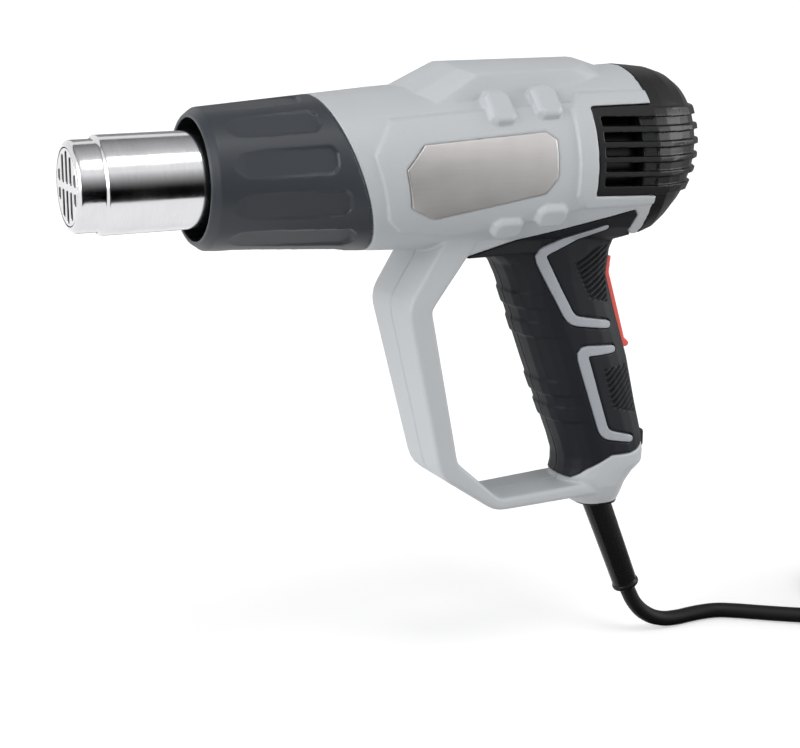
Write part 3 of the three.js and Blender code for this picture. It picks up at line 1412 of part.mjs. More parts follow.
place('outlet_tube', outletTube(), 'chrome');
place('outlet_grille', outletGrille(), 'chrome');
place('tube_flange', ring(flangeX, flangeEnd, OUTLET_RADIUS + GAP, cavityRadius(flangeX) - GAP), 'ceramic');
place('mica_sleeve', ring(micaStart, outletRear, micaOuter - MICA_WALL, micaOuter), 'mica');
place('heater_core', heaterCore(), 'ceramic');
place('heater_wire', heaterWire(), 'steel');
place('thermal_cutout', disc(heaterEnd + GAP, heaterEnd + GAP + CUTOUT_LENGTH, CUTOUT_RADIUS), 'steel');

place('fan_duct', fanDuct(), 'black');
place('impeller', impeller(), 'black');
place('motor_shaft', disc(fanX - 1, shaftEnd - GAP, SHAFT_RADIUS), 'steel');
place('motor_can', motorCan(), 'steel');
place('motor_mount', motorMount(), 'black');
place('control_board', disc(boardX, boardX + BOARD_THICKNESS, BOARD_RADIUS), 'board');
place('rectifier', rectifier(), 'black');

place('switch_rocker', switchRocker(), 'red');
place('rocker_pin', crossBar(pinX, PIN_HEIGHT, PIN_RADIUS, -pinEnd, pinEnd, 12), 'steel');
place('switch_body', switchBody(), 'black');
for (const [side, sign] of sides) {
  place(`supply_lead_${side}`, supplyLead(sign), 'cord');
  place(`motor_lead_${side}`, motorLead(sign), 'cord');
}

place('cord_clamp', cordClamp(), 'black');
clampPosts.forEach((x, i) => place(`clamp_screw_${i + 1}`, clampScrew(x), 'steel'));
place('strain_relief', strainRelief(), 'cord');
place('power_cord', cordTube(0), 'cord');
place('cord_coil', cordCoil(), 'cord');
place('cord_tie', cordTie(), 'black');
place('plug_body', plugBody(), 'black');
[-1, 1].forEach((side, i) => place(`plug_pin_${i + 1}`, plugPin(side), 'steel'));

export default tool;
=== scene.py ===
"""Looks of a hot air tool: moulded shells, soft grip, bright outlet, switch, cord and a plain studio.

Metres, +Z up, outlet towards -X. The origin is the middle of the hand grip.
"""

import math

import bmesh
import bpy
from bpy.props import FloatProperty, FloatVectorProperty, IntProperty, PointerProperty
from mathutils import Matrix, Vector


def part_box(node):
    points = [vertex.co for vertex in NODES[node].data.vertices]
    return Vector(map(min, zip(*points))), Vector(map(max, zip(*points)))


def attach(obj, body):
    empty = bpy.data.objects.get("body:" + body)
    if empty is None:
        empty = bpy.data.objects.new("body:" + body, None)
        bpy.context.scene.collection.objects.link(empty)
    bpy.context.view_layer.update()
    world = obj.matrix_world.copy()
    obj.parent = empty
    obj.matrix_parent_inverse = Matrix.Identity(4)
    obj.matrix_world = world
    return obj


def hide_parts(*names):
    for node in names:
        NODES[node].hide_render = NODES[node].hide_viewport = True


bl_info = {
    "name": "Hot Air Tool",
    "version": (1, 0, 0),
    "blender": (4, 5, 0),
    "location": "View3D > Sidebar > Hot Air Tool",
    "description": "Dresses the packed hot air tool with moulded shells, finishes, a cord and a studio",
    "category": "Object",
}

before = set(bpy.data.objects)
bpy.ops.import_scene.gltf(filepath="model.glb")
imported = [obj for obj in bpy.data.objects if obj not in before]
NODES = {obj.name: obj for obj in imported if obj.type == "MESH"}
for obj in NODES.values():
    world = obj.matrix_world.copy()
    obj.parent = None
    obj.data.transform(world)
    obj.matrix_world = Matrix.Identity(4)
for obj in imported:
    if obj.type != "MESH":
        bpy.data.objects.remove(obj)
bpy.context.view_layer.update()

MM = 0.001
BODY = "body"
SIDES = {"left": -1, "right": 1}  # which way along Y each side looks

# The solids are drawn from the outlet's tip and the barrel's axis; this is the part's origin there.
ORIGIN = Vector((203, 0, -80)) * MM
AXIS_Z = -ORIGIN.z
FLOOR_Z = -205 * MM - ORIGIN.z

# Barrel: places along X and radii
GUARD_X = 44.5 * MM - ORIGIN.x
WAIST_X = 113.7 * MM - ORIGIN.x
SEAM_X = 218 * MM - ORIGIN.x
COLLAR_X = SEAM_X - 34 * MM
CAP_DEPTH = 26.6 * MM
MOUTH_CHAMFER = 3.1 * MM
MOUTH_RIM = 23.4 * MM  # outer radius of the mouth's front face
SHADE_INSIDE_RADIUS = 22.4 * MM  # what lies nearer the axis is the guard's inside, where black is painted shade
SHADE_INWARD_FACING = 0.5  # least share of such a face's normal that points at the axis
GUARD_RADIUS = 25.4 * MM
WAIST_RADIUS = 30.2 * MM
SEAM_RADIUS = 35.5 * MM
PANEL_RISE = 1 * MM
BADGE_PROUD = 0.3 * MM
PARTING = 0.03 * MM  # from the middle to each half
PARTING_DEPTH = 0.4 * MM
COLLAR_RISE = 2.4 * MM
COLLAR_END_RISE = 0.9 * MM
RIB_RISE = 1.1 * MM
VENT_FLOOR = 0.6 * MM
# Rear cap: share of its depth, share of the seam's radius, lift of its middle in millimetres
CAP_STATIONS = (
    (0, 1, 0), (0.23, 0.966, 0.6), (0.49, 0.885, 2.6), (0.72, 0.78, 4.3), (0.89, 0.66, 5.6), (1, 0.52, 6),
)

# The solids' barrel has flat sides. Their middles lie this share of the radius under the true round.
BARREL_SIDES = 32
FLAT_DEPTH = 1 - math.cos(math.pi / BARREL_SIDES)
FLAT_SLACK = 1.25  # points up to this many such depths under the round still belong to it
FLAT_MIDDLE = 0.5 * FLAT_DEPTH  # where they are set, halfway between the corners and the flats

# Rounding of the mouldings
JOIN_WITHIN = 1e-6  # points nearer than this become one
SMOOTHING = 0.5  # how far one pass moves a point towards the middle of its neighbours

# Turned and curved pieces: steps round, and the angle above which an edge stays sharp
TUBE_STEPS = 96
TUBE_SHARP = math.radians(50)
SCREW_STEPS = 32
SHADE_PLATE_STEPS = 24
EDGE_SHARP = math.radians(40)

# Outlet tube
OUTLET_RADIUS = 17.5 * MM
OUTLET_WALL = 1 * MM
# Its front in millimetres from the tip: radius behind the lip, roll of the lip, where the outside widens,
# and the inside as place and radius, from the step to the lip
OUTLET_FRONT = 16.2
OUTLET_LIP = 2.3
OUTLET_STEP = (9, 10.8)
OUTLET_INSIDE = ((12, 16.5), (10, 15.2), (2.4, 15.2), (1, 14.1), (0.4, 13.9))

# Housing screws: number, radii and depths of the head in millimetres, and the bar that cuts the cross
HOUSING_SCREWS = 6
SCREW_HEAD = ((0, 0), (1.4, 0.08), (2.3, 0.35), (2.8, 0.8), (3, 1.3), (3, 2.2))
SCREW_RADIUS = 1.9 * MM
SCREW_RECESS = Vector((3.8, 2.4, 0.9)) * MM

# Dark plates behind the vents, painted shade inside them: depth under the barrel, arc from the top in
# degrees, ends before the seam
SHADE_PLATE_DEPTH = 6.5 * MM
SHADE_PLATE_ARC = (25, 122)
SHADE_PLATE_ENDS = (24.5 * MM, 6.6 * MM)
SHADE_PLATE_WALL = 0.8 * MM

# Ribbed pads on the grip, in the solids' frame and millimetres: corners in the side view, lean in degrees
PADS = (
    (((200.6, -53.4), (210.4, -56.2), (210.8, -30), (192.4, -38.2)), 30),
    (((213, -99), (226, -103), (221.4, -81.8), (207.8, -82.8)), 42),
)
PAD_PITCH = 2.2
PAD_EDGE = 0.5
PAD_DEPTH = 1.7 * MM
PAD_PROUD = 0.4 * MM  # how far the ribs stand above the grip round them
PAD_FACING = 0.2  # least share of a pad's normal that points sideways

# Tongue at the foot of the grip's back; its place is in the solids' own frame, millimetres
TAIL_SIZE = Vector((4, 13, 7.6)) * MM
TAIL_ROUNDING = 1.4 * MM
TAIL_SEGMENTS = 4
TAIL_PLACE = (232.3, 0, -116.3)

# Cord route from the clamp to the coil, in the solids' own frame, millimetres
CORD_ROUTE = (
    (215, 0, -119), (215, 0, -127), (215, 0, -135), (215.5, 0, -140.4), (217, 0, -145.5),
    (221.7, 0, -157.2), (225.5, 0, -166.5), (229.2, 0, -175.7), (233.1, 0, -185.3), (236.9, 0.1, -191.8),
    (242.5, 0.2, -197.1), (249.8, 0.4, -200.5), (258.1, 0.9, -201.75), (266, 1.4, -201.75),
    (273, 1.4, -201.75), (279.5, 0.2, -201.75), (285.4, -3.2, -201.75), (292, -8, -201.75),
    (300, -14.1, -201.7), (308, -20.2, -201.5), (316, -26.2, -201.2), (324, -32.2, -200.9),
    (333, -38.9, -200.7), (342.3, -45.9, -200.6),
)
COIL_CENTRE = Vector((373, -16.9, 0)) * MM - ORIGIN
COIL_START = math.radians(-126.9)
COIL_TURNS = 1.428
COIL_LAYERS = 4
COIL_STEPS = 24
COIL_LIFT = 1.1 * MM
CORD_FINENESS = 4  # resolution of the cord's curve, along it and round it
PLUG_TAIL = 36 * MM
PLUG_LANDING = 0.82  # share of the tail on which the cord comes down to the plug
PLUG_AXIS = 12.8 * MM

# Noise of the finishes
NOISE_MIDDLE = 0.5
FINE_DETAIL, RICH_DETAIL = 3.0, 4.0
SPECK_DEPTH = 0.12  # how much the grain shows in colour and gloss
CLOUD_SCALE = 45.0
SMUDGE_SCALE = 90.0
LEAST_ROUGHNESS = 0.04
BUMP_STRENGTH = 0.5

# Stage
CAMERA_REACH = 60
FLOOR_REACH = 20  # from its middle to its edge
FLOOR_CELLS = 8

# Trays that only reflections show: radii, height of the rim, and bearings as first and sweep in degrees
TRAY_INNER, TRAY_OUTER = 0.32, 1.6
TRAY_RIM = 1.15
TRAY_STEPS = 32
FRONT_TRAY = (-150, 140)
FRONT_POWER = 1.5  # how steeply the front tray brightens towards its rim
BACK_TRAY = (0, 85)
BACK_GREY = 0.3
# Cards that only reflections show: middle, size, and brightness as a slope along Y
CARD_LIFT = MM  # of the trays and cards that lie on the floor
BADGE_CARD = (0.2, -0.35)
BADGE_CARD_SIZE = (0.8, 0.7)
BADGE_CARD_SLOPE = -1.9
CEILING = (0, 0.3, 1.4)
CEILING_SIZE = (3.2, 1.6)
CEILING_SLOPE = -0.36
CEILING_MIDDLE = 0.55  # its brightness at the tool's middle plane
# The outlet tube and the badge mirror different cards, which part at this upright plane.
MIRROR_X = -0.11
MIRROR_ACROSS = Vector((0.92, 0.4, 0))


# Settings

def colour(label, description, value):
    return FloatVectorProperty(
        name=label, description=description, default=(*value, 1.0), subtype="COLOR", size=4,
        min=0.0, max=1.0,
    )


def length(label, description, value):
    return FloatProperty(
        name=label, description=description, default=value, min=0.0, subtype="DISTANCE", unit="LENGTH"
    )


def amount(label, description, value, most, least=0):
    return FloatProperty(name=label, description=description, default=value, min=least, max=most)


def vector(label, description, value, kind):
    return FloatVectorProperty(name=label, description=description, default=value, subtype=kind)


def sky_width(label, description, degrees):
    return FloatProperty(
        name=label, description=description, default=math.radians(degrees), subtype="ANGLE"
    )


def count(label, description, value, least, most):
    return IntProperty(name=label, description=description, default=value, min=least, max=most)


class HotAirFinishes(bpy.types.PropertyGroup):
    """Colours of the tool's materials."""

    shell: colour("Shell", "Light grey of the two housing halves", (0.513, 0.536, 0.555))
    guard: colour("Nose guard", "Dark grey of the nose guard", (0.034, 0.039, 0.047))
    soft: colour("Soft grip", "Black of the soft grip", (0.008, 0.009, 0.013))
    black: colour("Black", "Satin black of the rear cap and other mouldings", (0.006, 0.0063, 0.007))
    trim: colour("Trim", "Grey of the trims on the grip", (0.375, 0.395, 0.43))
    red: colour("Switch", "Red of the switch", (0.95, 0.12, 0.09))
    chrome: colour("Outlet", "Bright metal of the outlet", (0.7, 0.7, 0.715))
    badge: colour("Badge", "Brushed plate on each side", (0.56, 0.54, 0.537))
    steel: colour("Steel", "Screws, pins and shaft", (0.42, 0.43, 0.45))
    ceramic: colour("Ceramic", "Heater core and flange", (0.79, 0.74, 0.63))
    mica: colour("Mica", "Sleeve round the heater", (0.46, 0.32, 0.14))
    board: colour("Board", "Circuit board", (0.03, 0.15, 0.05))
    cord: colour("Cord", "Sheath of the cord and its sleeve", (0.006, 0.006, 0.0065))


class HotAirMoulding(bpy.types.PropertyGroup):
    """How finely the mouldings are rounded."""

    shell_voxel: length("Shell voxel", "Grid on which the housing halves are rounded", 0.5 * MM)
    guard_voxel: length("Guard voxel", "Grid on which the nose guard is rounded", 0.42 * MM)
    cap_voxel: length("Cap voxel", "Grid on which the rear cap is rounded", 0.28 * MM)
    grip_voxel: length("Grip voxel", "Grid on which the soft grip is rounded", 0.36 * MM)
    small_voxel: length("Small voxel", "Grid on which small pieces are rounded", 0.3 * MM)
    grille_voxel: length("Grille voxel", "Grid on which the outlet's grille is rounded", 0.2 * MM)
    rounding: count("Rounding", "Smoothing passes over the edges of the grip and its trims", 5, 0, 40)
    most: count("Triangles", "Most triangles in a piece", 190000, 1000, 1000000)


class HotAirCord(bpy.types.PropertyGroup):
    """The cord's sizes."""

    diameter: length("Diameter", "Outside diameter of the cord", 6.5 * MM)
    span: length("Length", "Length from the tool to the plug", 1.85)
    coil_radius: length("Coil radius", "Radius at the middle of the coil's turns", 36 * MM)
    coil_pitch: length("Turn pitch", "Distance between turns side by side", 8 * MM)
    layer_pitch: length("Layer pitch", "Distance between layers", 7.3 * MM)


class HotAirStage(bpy.types.PropertyGroup):
    """Camera, floor and lights."""

    camera_place: vector("Camera", "Where the camera stands", (-0.3599, -0.6082, 0.1676), "TRANSLATION")
    camera_target: vector("Target", "Middle of the picture", (-0.07629, 0, 0.00033), "TRANSLATION")
    lens: amount("Lens", "Focal length on a 36 mm sensor", 81.0, 300, least=10)
    floor: colour("Floor", "Pale floor", (0.75, 0.75, 0.75))
    floor_glow: amount("Floor glow", "Light of the floor to the eye", 0.45, 1)
    ambient: amount("Ambient", "Light from all round", 0.42, 5)
    key: amount("Key", "Strength of the lamp in front", 2.2, 20)
    key_from: vector("Key from", "Where the lamp in front shines from", (-0.95, -0.15, 0.2), "DIRECTION")
    top: amount("Top", "Strength of the lamp overhead", 0.7, 20)
    top_from: vector("Top from", "Where the lamp overhead shines from", (0, -0.45, 0.9), "DIRECTION")
    fill: amount("Fill", "Strength of the lamp behind", 2.0, 20)
    fill_from: vector("Fill from", "Where the lamp behind shines from", (0.95, -0.25, 0.1), "DIRECTION")
    spread: sky_width("Spread", "Width of each low lamp in the sky", 50)
    top_spread: sky_width("Top spread", "Width of the lamp overhead in the sky", 26)


class HotAirSettings(bpy.types.PropertyGroup):
    """All settings of the tool."""

    finishes: PointerProperty(type=HotAirFinishes)
    moulding: PointerProperty(type=HotAirMoulding)
    cord: PointerProperty(type=HotAirCord)
    stage: PointerProperty(type=HotAirStage)


def settings():
    return bpy.context.scene.hot_air


# Shader groups

def new_group(name, inputs, outputs):
    group = bpy.data.node_groups.new(name, "ShaderNodeTree")
    for label, kind in inputs:
        group.interface.new_socket(label, in_out="INPUT", socket_type=kind)
    for label, kind in outputs:
        group.interface.new_socket(label, in_out="OUTPUT", socket_type=kind)
    return group, group.nodes.new("NodeGroupInput"), group.nodes.new("NodeGroupOutput")


def maths(tree, operation, first, second):
    """A Math node; each operand is a socket or a number."""
    node = tree.nodes.new("ShaderNodeMath")
    node.operation = operation
    for socket, value in zip(node.inputs, (first, second)):
        if isinstance(value, (int, float)):
            socket.default_value = value
        else:
            tree.links.new(value, socket)
    return node.outputs[0]


def scaled_colour(tree, base, factor):
    node = tree.nodes.new("ShaderNodeVectorMath")
    node.operation = "SCALE"
    tree.links.new(base, node.inputs[0])
    tree.links.new(factor, node.inputs["Scale"])
    return node.outputs[0]


def noise(tree, vector, scale, detail):
    node = tree.nodes.new("ShaderNodeTexNoise")
    node.inputs["Detail"].default_value = detail
    tree.links.new(vector, node.inputs["Vector"])
    if isinstance(scale, (int, float)):
        node.inputs["Scale"].default_value = scale
    else:
        tree.links.new(scale, node.inputs["Scale"])
    return node.outputs["Fac"]


def swing_of(tree, value, depth):
    """A noise as a swing about 0 of a given depth."""
    return maths(tree, "MULTIPLY", maths(tree, "SUBTRACT", value, NOISE_MIDDLE), depth)


def vary(tree, given, result, first, second):
    """Lets two swings change the colour, and returns the roughness that they change too."""
    swing = maths(tree, "ADD", first, second)
    shade = maths(tree, "ADD", swing, 1.0)
    tree.links.new(scaled_colour(tree, given.outputs["Colour"], shade), result.inputs["Colour"])
    return maths(tree, "ADD", given.outputs["Roughness"], swing)


SURFACE_OUTPUTS = (
    ("Colour", "NodeSocketColor"),
    ("Roughness", "NodeSocketFloat"),
    ("Height", "NodeSocketFloat"),
)


def mould_grain():
    """Spark-eroded grain of a moulding, with faint cloudiness in colour and gloss."""
    if "mould_grain" in bpy.data.node_groups:
        return bpy.data.node_groups["mould_grain"]
    group, given, result = new_group(
        "mould_grain",
        (
            ("Vector", "NodeSocketVector"),
            ("Colour", "NodeSocketColor"),
            ("Roughness", "NodeSocketFloat"),
            ("Grain Scale", "NodeSocketFloat"),
            ("Cloud Scale", "NodeSocketFloat"),
            ("Cloud Depth", "NodeSocketFloat"),
        ),
        SURFACE_OUTPUTS,
    )
    grain = noise(group, given.outputs["Vector"], given.outputs["Grain Scale"], FINE_DETAIL)
    cloud = noise(group, given.outputs["Vector"], given.outputs["Cloud Scale"], RICH_DETAIL)
    swing = swing_of(group, cloud, given.outputs["Cloud Depth"])
    speck = swing_of(group, grain, SPECK_DEPTH)
    group.links.new(vary(group, given, result, swing, speck), result.inputs["Roughness"])
    group.links.new(grain, result.inputs["Height"])
    return group


def brushed_lines():
    """Fine parallel lines of brushed, turned or drawn metal."""
    if "brushed_lines" in bpy.data.node_groups:
        return bpy.data.node_groups["brushed_lines"]
    group, given, result = new_group(
        "brushed_lines",
        (
            ("Vector", "NodeSocketVector"),
            ("Colour", "NodeSocketColor"),
            ("Roughness", "NodeSocketFloat"),
            ("Stretch", "NodeSocketVector"),
            ("Depth", "NodeSocketFloat"),
        ),
        SURFACE_OUTPUTS,
    )
    stretch = group.nodes.new("ShaderNodeVectorMath")
    stretch.operation = "MULTIPLY"
    group.links.new(given.outputs["Vector"], stretch.inputs[0])
    group.links.new(given.outputs["Stretch"], stretch.inputs[1])
    lines = noise(group, stretch.outputs[0], 1.0, RICH_DETAIL)
    smudge = noise(group, given.outputs["Vector"], SMUDGE_SCALE, FINE_DETAIL)
    swing = swing_of(group, lines, given.outputs["Depth"])
    stain = swing_of(group, smudge, given.outputs["Depth"])
    rough = vary(group, given, result, swing, stain)
    group.links.new(maths(group, "MAXIMUM", rough, LEAST_ROUGHNESS), result.inputs["Roughness"])
    group.links.new(lines, result.inputs["Height"])
    return group


# Materials

LOOK_PREFIX = "look_"  # the solids come with plain materials that have the slots' own names


def surface_material(name, group, values, bump_depth, metallic=0.0, specular=0.5):
    """A Principled material whose colour, roughness and bump come from a shader group."""
    name = LOOK_PREFIX + name
    if name in bpy.data.materials:
        return bpy.data.materials[name]
    material = bpy.data.materials.new(name)
    material.use_nodes = True
    tree = material.node_tree
    shader = tree.nodes["Principled BSDF"]
    shader.inputs["Metallic"].default_value = metallic
    shader.inputs["Specular IOR Level"].default_value = specular
    place = tree.nodes.new("ShaderNodeTexCoord")
    surface = tree.nodes.new("ShaderNodeGroup")
    surface.node_tree = group
    for label, value in values.items():
        surface.inputs[label].default_value = value
    tree.links.new(place.outputs["Object"], surface.inputs["Vector"])
    tree.links.new(surface.outputs["Colour"], shader.inputs["Base Color"])
    tree.links.new(surface.outputs["Roughness"], shader.inputs["Roughness"])
    bump = tree.nodes.new("ShaderNodeBump")
    bump.inputs["Strength"].default_value = BUMP_STRENGTH
    bump.inputs["Distance"].default_value = bump_depth
    tree.links.new(surface.outputs["Height"], bump.inputs["Height"])
    tree.links.new(bump.outputs["Normal"], shader.inputs["Normal"])
    return material


def moulded(slot, roughness, grain, depth, cloud=0.06, specular=0.5, name=None):
    """A plastic or rubber with a grain of a given size and depth."""
    values = {
        "Colour": getattr(settings().finishes, slot),
        "Roughness": roughness,
        "Grain Scale": 1 / grain,
        "Cloud Scale": CLOUD_SCALE,
        "Cloud Depth": cloud,
    }
    return surface_material(name or slot, mould_grain(), values, depth, specular=specular)


def metal(slot, roughness, stretch, depth, bump=0.004 * MM):
    """A metal with fine lines; stretch is how many lines a metre crosses along each axis."""
    values = {
        "Colour": getattr(settings().finishes, slot),
        "Roughness": roughness,
        "Stretch": stretch,
        "Depth": depth,
    }
    return surface_material(slot, brushed_lines(), values, bump, metallic=1.0)


# Plastics: roughness, width and depth of the grain. Metals: roughness, lines along X, Y and Z, their depth.
FINISHES = {
    "shell": lambda: moulded("shell", 0.46, 0.45 * MM, 0.02 * MM, cloud=0.03),
    "guard": lambda: moulded("guard", 0.4, 0.4 * MM, 0.015 * MM, specular=0.42),
    "soft": lambda: moulded("soft", 0.55, 0.35 * MM, 0.04 * MM, cloud=0.1, specular=0.3),
    "black": lambda: moulded("black", 0.3, 0.5 * MM, 0.01 * MM, specular=0.3),
    "trim": lambda: moulded("trim", 0.5, 0.4 * MM, 0.02 * MM),
    "red": lambda: moulded("red", 0.36, 0.4 * MM, 0.012 * MM, cloud=0.03),
    "chrome": lambda: metal("chrome", 0.15, (1500, 160, 160), 0.14, bump=0.011 * MM),
    "badge": lambda: metal("badge", 0.45, (40, 400, 3800), 0.2),
    "steel": lambda: metal("steel", 0.32, (900, 900, 900), 0.2),
    "ceramic": lambda: moulded("ceramic", 0.75, 0.6 * MM, 0.05 * MM),
    "mica": lambda: moulded("mica", 0.55, 0.9 * MM, 0.05 * MM, cloud=0.3),
    "board": lambda: moulded("board", 0.45, 0.6 * MM, 0.02 * MM),
    "cord": lambda: moulded("cord", 0.5, 0.5 * MM, 0.02 * MM, specular=0.25),
    "sleeve": lambda: moulded("cord", 0.28, 0.6 * MM, 0.01 * MM, specular=0.22, name="sleeve"),
}


def finish(slot):
    return FINISHES[slot]()


# Pieces

def new_object(name, data):
    piece = bpy.data.objects.new(name, data)
    bpy.context.scene.collection.objects.link(piece)
    return piece


def dress(piece, slot, *nodes, body=BODY, look=None):
    """Gives a piece its finish and its body, and hides the nodes that it stands for."""
    piece.data.materials.clear()
    piece.data.materials.append(finish(look or slot))
    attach(piece, body)
    if nodes:
        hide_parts(*nodes)
    return piece


def paint(slot, *nodes):
    """Gives nodes that show as they are a finish."""
    for node in nodes:
        NODES[node].data.materials.clear()
        NODES[node].data.materials.append(finish(slot))


def barrel_radius(x):
    if x < WAIST_X:
        share = (x - GUARD_X) / (WAIST_X - GUARD_X)
        return GUARD_RADIUS + share * (WAIST_RADIUS - GUARD_RADIUS)
    share = (x - WAIST_X) / (SEAM_X - WAIST_X)
    return WAIST_RADIUS + share * (SEAM_RADIUS - WAIST_RADIUS)


def barrel_form(x):
    """Radius and lift of the middle of the barrel and its cap at a place along X."""
    if x < GUARD_X + MOUTH_CHAMFER:
        share = (x - GUARD_X) / MOUTH_CHAMFER
        return MOUTH_RIM + share * (barrel_radius(GUARD_X + MOUTH_CHAMFER) - MOUTH_RIM), 0.0
    if x <= SEAM_X:
        return barrel_radius(x), 0.0
    share = min((x - SEAM_X) / CAP_DEPTH, 1.0)
    for (start, width, lift), (end, next_width, next_lift) in zip(CAP_STATIONS, CAP_STATIONS[1:]):
        if share <= end:
            blend = (share - start) / (end - start)
            radius = SEAM_RADIUS * (width + blend * (next_width - width))
            return radius, (lift + blend * (next_lift - lift)) * MM
    raise ValueError("the cap's stations end at 1")


def collar_rise(x):
    """Height of the collar round a vent, which runs out towards the seam."""
    share = (x - COLLAR_X) / (SEAM_X - COLLAR_X)
    return COLLAR_RISE + share * (COLLAR_END_RISE - COLLAR_RISE)


def true_round(verts, rises):
    """Moves points near a surface at a rise above the barrel onto the true round of that surface."""
    for vert in verts:
        radius, lift = barrel_form(vert.co.x)
        across = Vector((0, vert.co.y, vert.co.z - AXIS_Z - lift))
        for rise in rises:
            height = rise(vert.co.x) if callable(rise) else rise
            away = across.length - radius - height
            if -FLAT_SLACK * FLAT_DEPTH * radius < away < FLAT_MIDDLE * radius:
                across.length = radius + height - FLAT_MIDDLE * radius
                vert.co.y = across.y
                vert.co.z = across.z + AXIS_Z + lift
                break


def mesh_of(work, name):
    """Ends a bmesh and returns its mesh."""
    mesh = bpy.data.meshes.new(name)
    work.to_mesh(mesh)
    work.free()
    return mesh


def modified(mesh, kind, **values):
    """What a modifier makes of a mesh."""
    blank = new_object("blank", mesh)
    modifier = blank.modifiers.new("change", kind)
    for label, value in values.items():
        setattr(modifier, label, value)
    bpy.context.view_layer.update()
    shape = bpy.data.meshes.new_from_object(blank.evaluated_get(bpy.context.evaluated_depsgraph_get()))
    bpy.data.objects.remove(blank)
    bpy.data.meshes.remove(mesh)
    return shape


def thinned(mesh):
    """The mesh with no more triangles than a piece may have."""
    most = settings().moulding.most
    mesh.calc_loop_triangles()
    count = len(mesh.loop_triangles)
    return mesh if count <= most else modified(mesh, "DECIMATE", ratio=most / count)


def merged_copy(node):
    """A copy of a node's mesh with its loose triangles joined."""
    work = bmesh.new()
    work.from_mesh(NODES[node].data)
    bmesh.ops.remove_doubles(work, verts=work.verts, dist=JOIN_WITHIN)
    return mesh_of(work, node + "_copy")


def rounded_mesh(node, voxel, passes, rises=(), press=None):
    """A copy of a node's mesh with the rounded edges of a moulding."""
    grid = modified(merged_copy(node), "REMESH", mode="VOXEL", voxel_size=voxel)
    work = bmesh.new()
    work.from_mesh(grid)
    bpy.data.meshes.remove(grid)
    true_round(work.verts, rises)
    for _ in range(passes):
        bmesh.ops.smooth_vert(
            work, verts=work.verts, factor=SMOOTHING, use_axis_x=True, use_axis_y=True, use_axis_z=True
        )
    if press:
        work.normal_update()
        press(work.verts)
    shape = thinned(mesh_of(work, node + "_rounded"))
    shape.shade_smooth()
    return shape


def moulding(name, node, slot, voxel, passes, rises=(), body=BODY, press=None, look=None):
    """A rounded copy of a node as a piece of its own."""
    mesh = rounded_mesh(node, voxel, passes, rises, press)
    return dress(new_object(name, mesh), slot, node, body=body, look=look)


def smooth_piece(name, mesh, sharp=None):
    """A smooth piece, on which edges above a given angle stay sharp."""
    mesh.shade_smooth()
    if sharp:
        mesh.set_sharp_from_angle(angle=sharp)
    return new_object(name, mesh)


def part_point(point):
    """A point given in the solids' own frame and millimetres."""
    return Vector(point) * MM - ORIGIN


def flatten_parting(verts, outwards):
    """Makes the face where two halves meet flat again."""
    for vert in verts:
        if vert.co.y * outwards < PARTING_DEPTH:
            vert.co.y = PARTING * outwards


def inside_by(point, corners):
    """How far a point lies inside a convex outline that runs counter-clockwise; below 0 outside it."""
    return min(
        ((end[0] - start[0]) * (point[1] - start[1]) - (end[1] - start[1]) * (point[0] - start[0]))
        / math.dist(start, end)
        for start, end in zip(corners, corners[1:] + corners[:1])
    )


# Operators

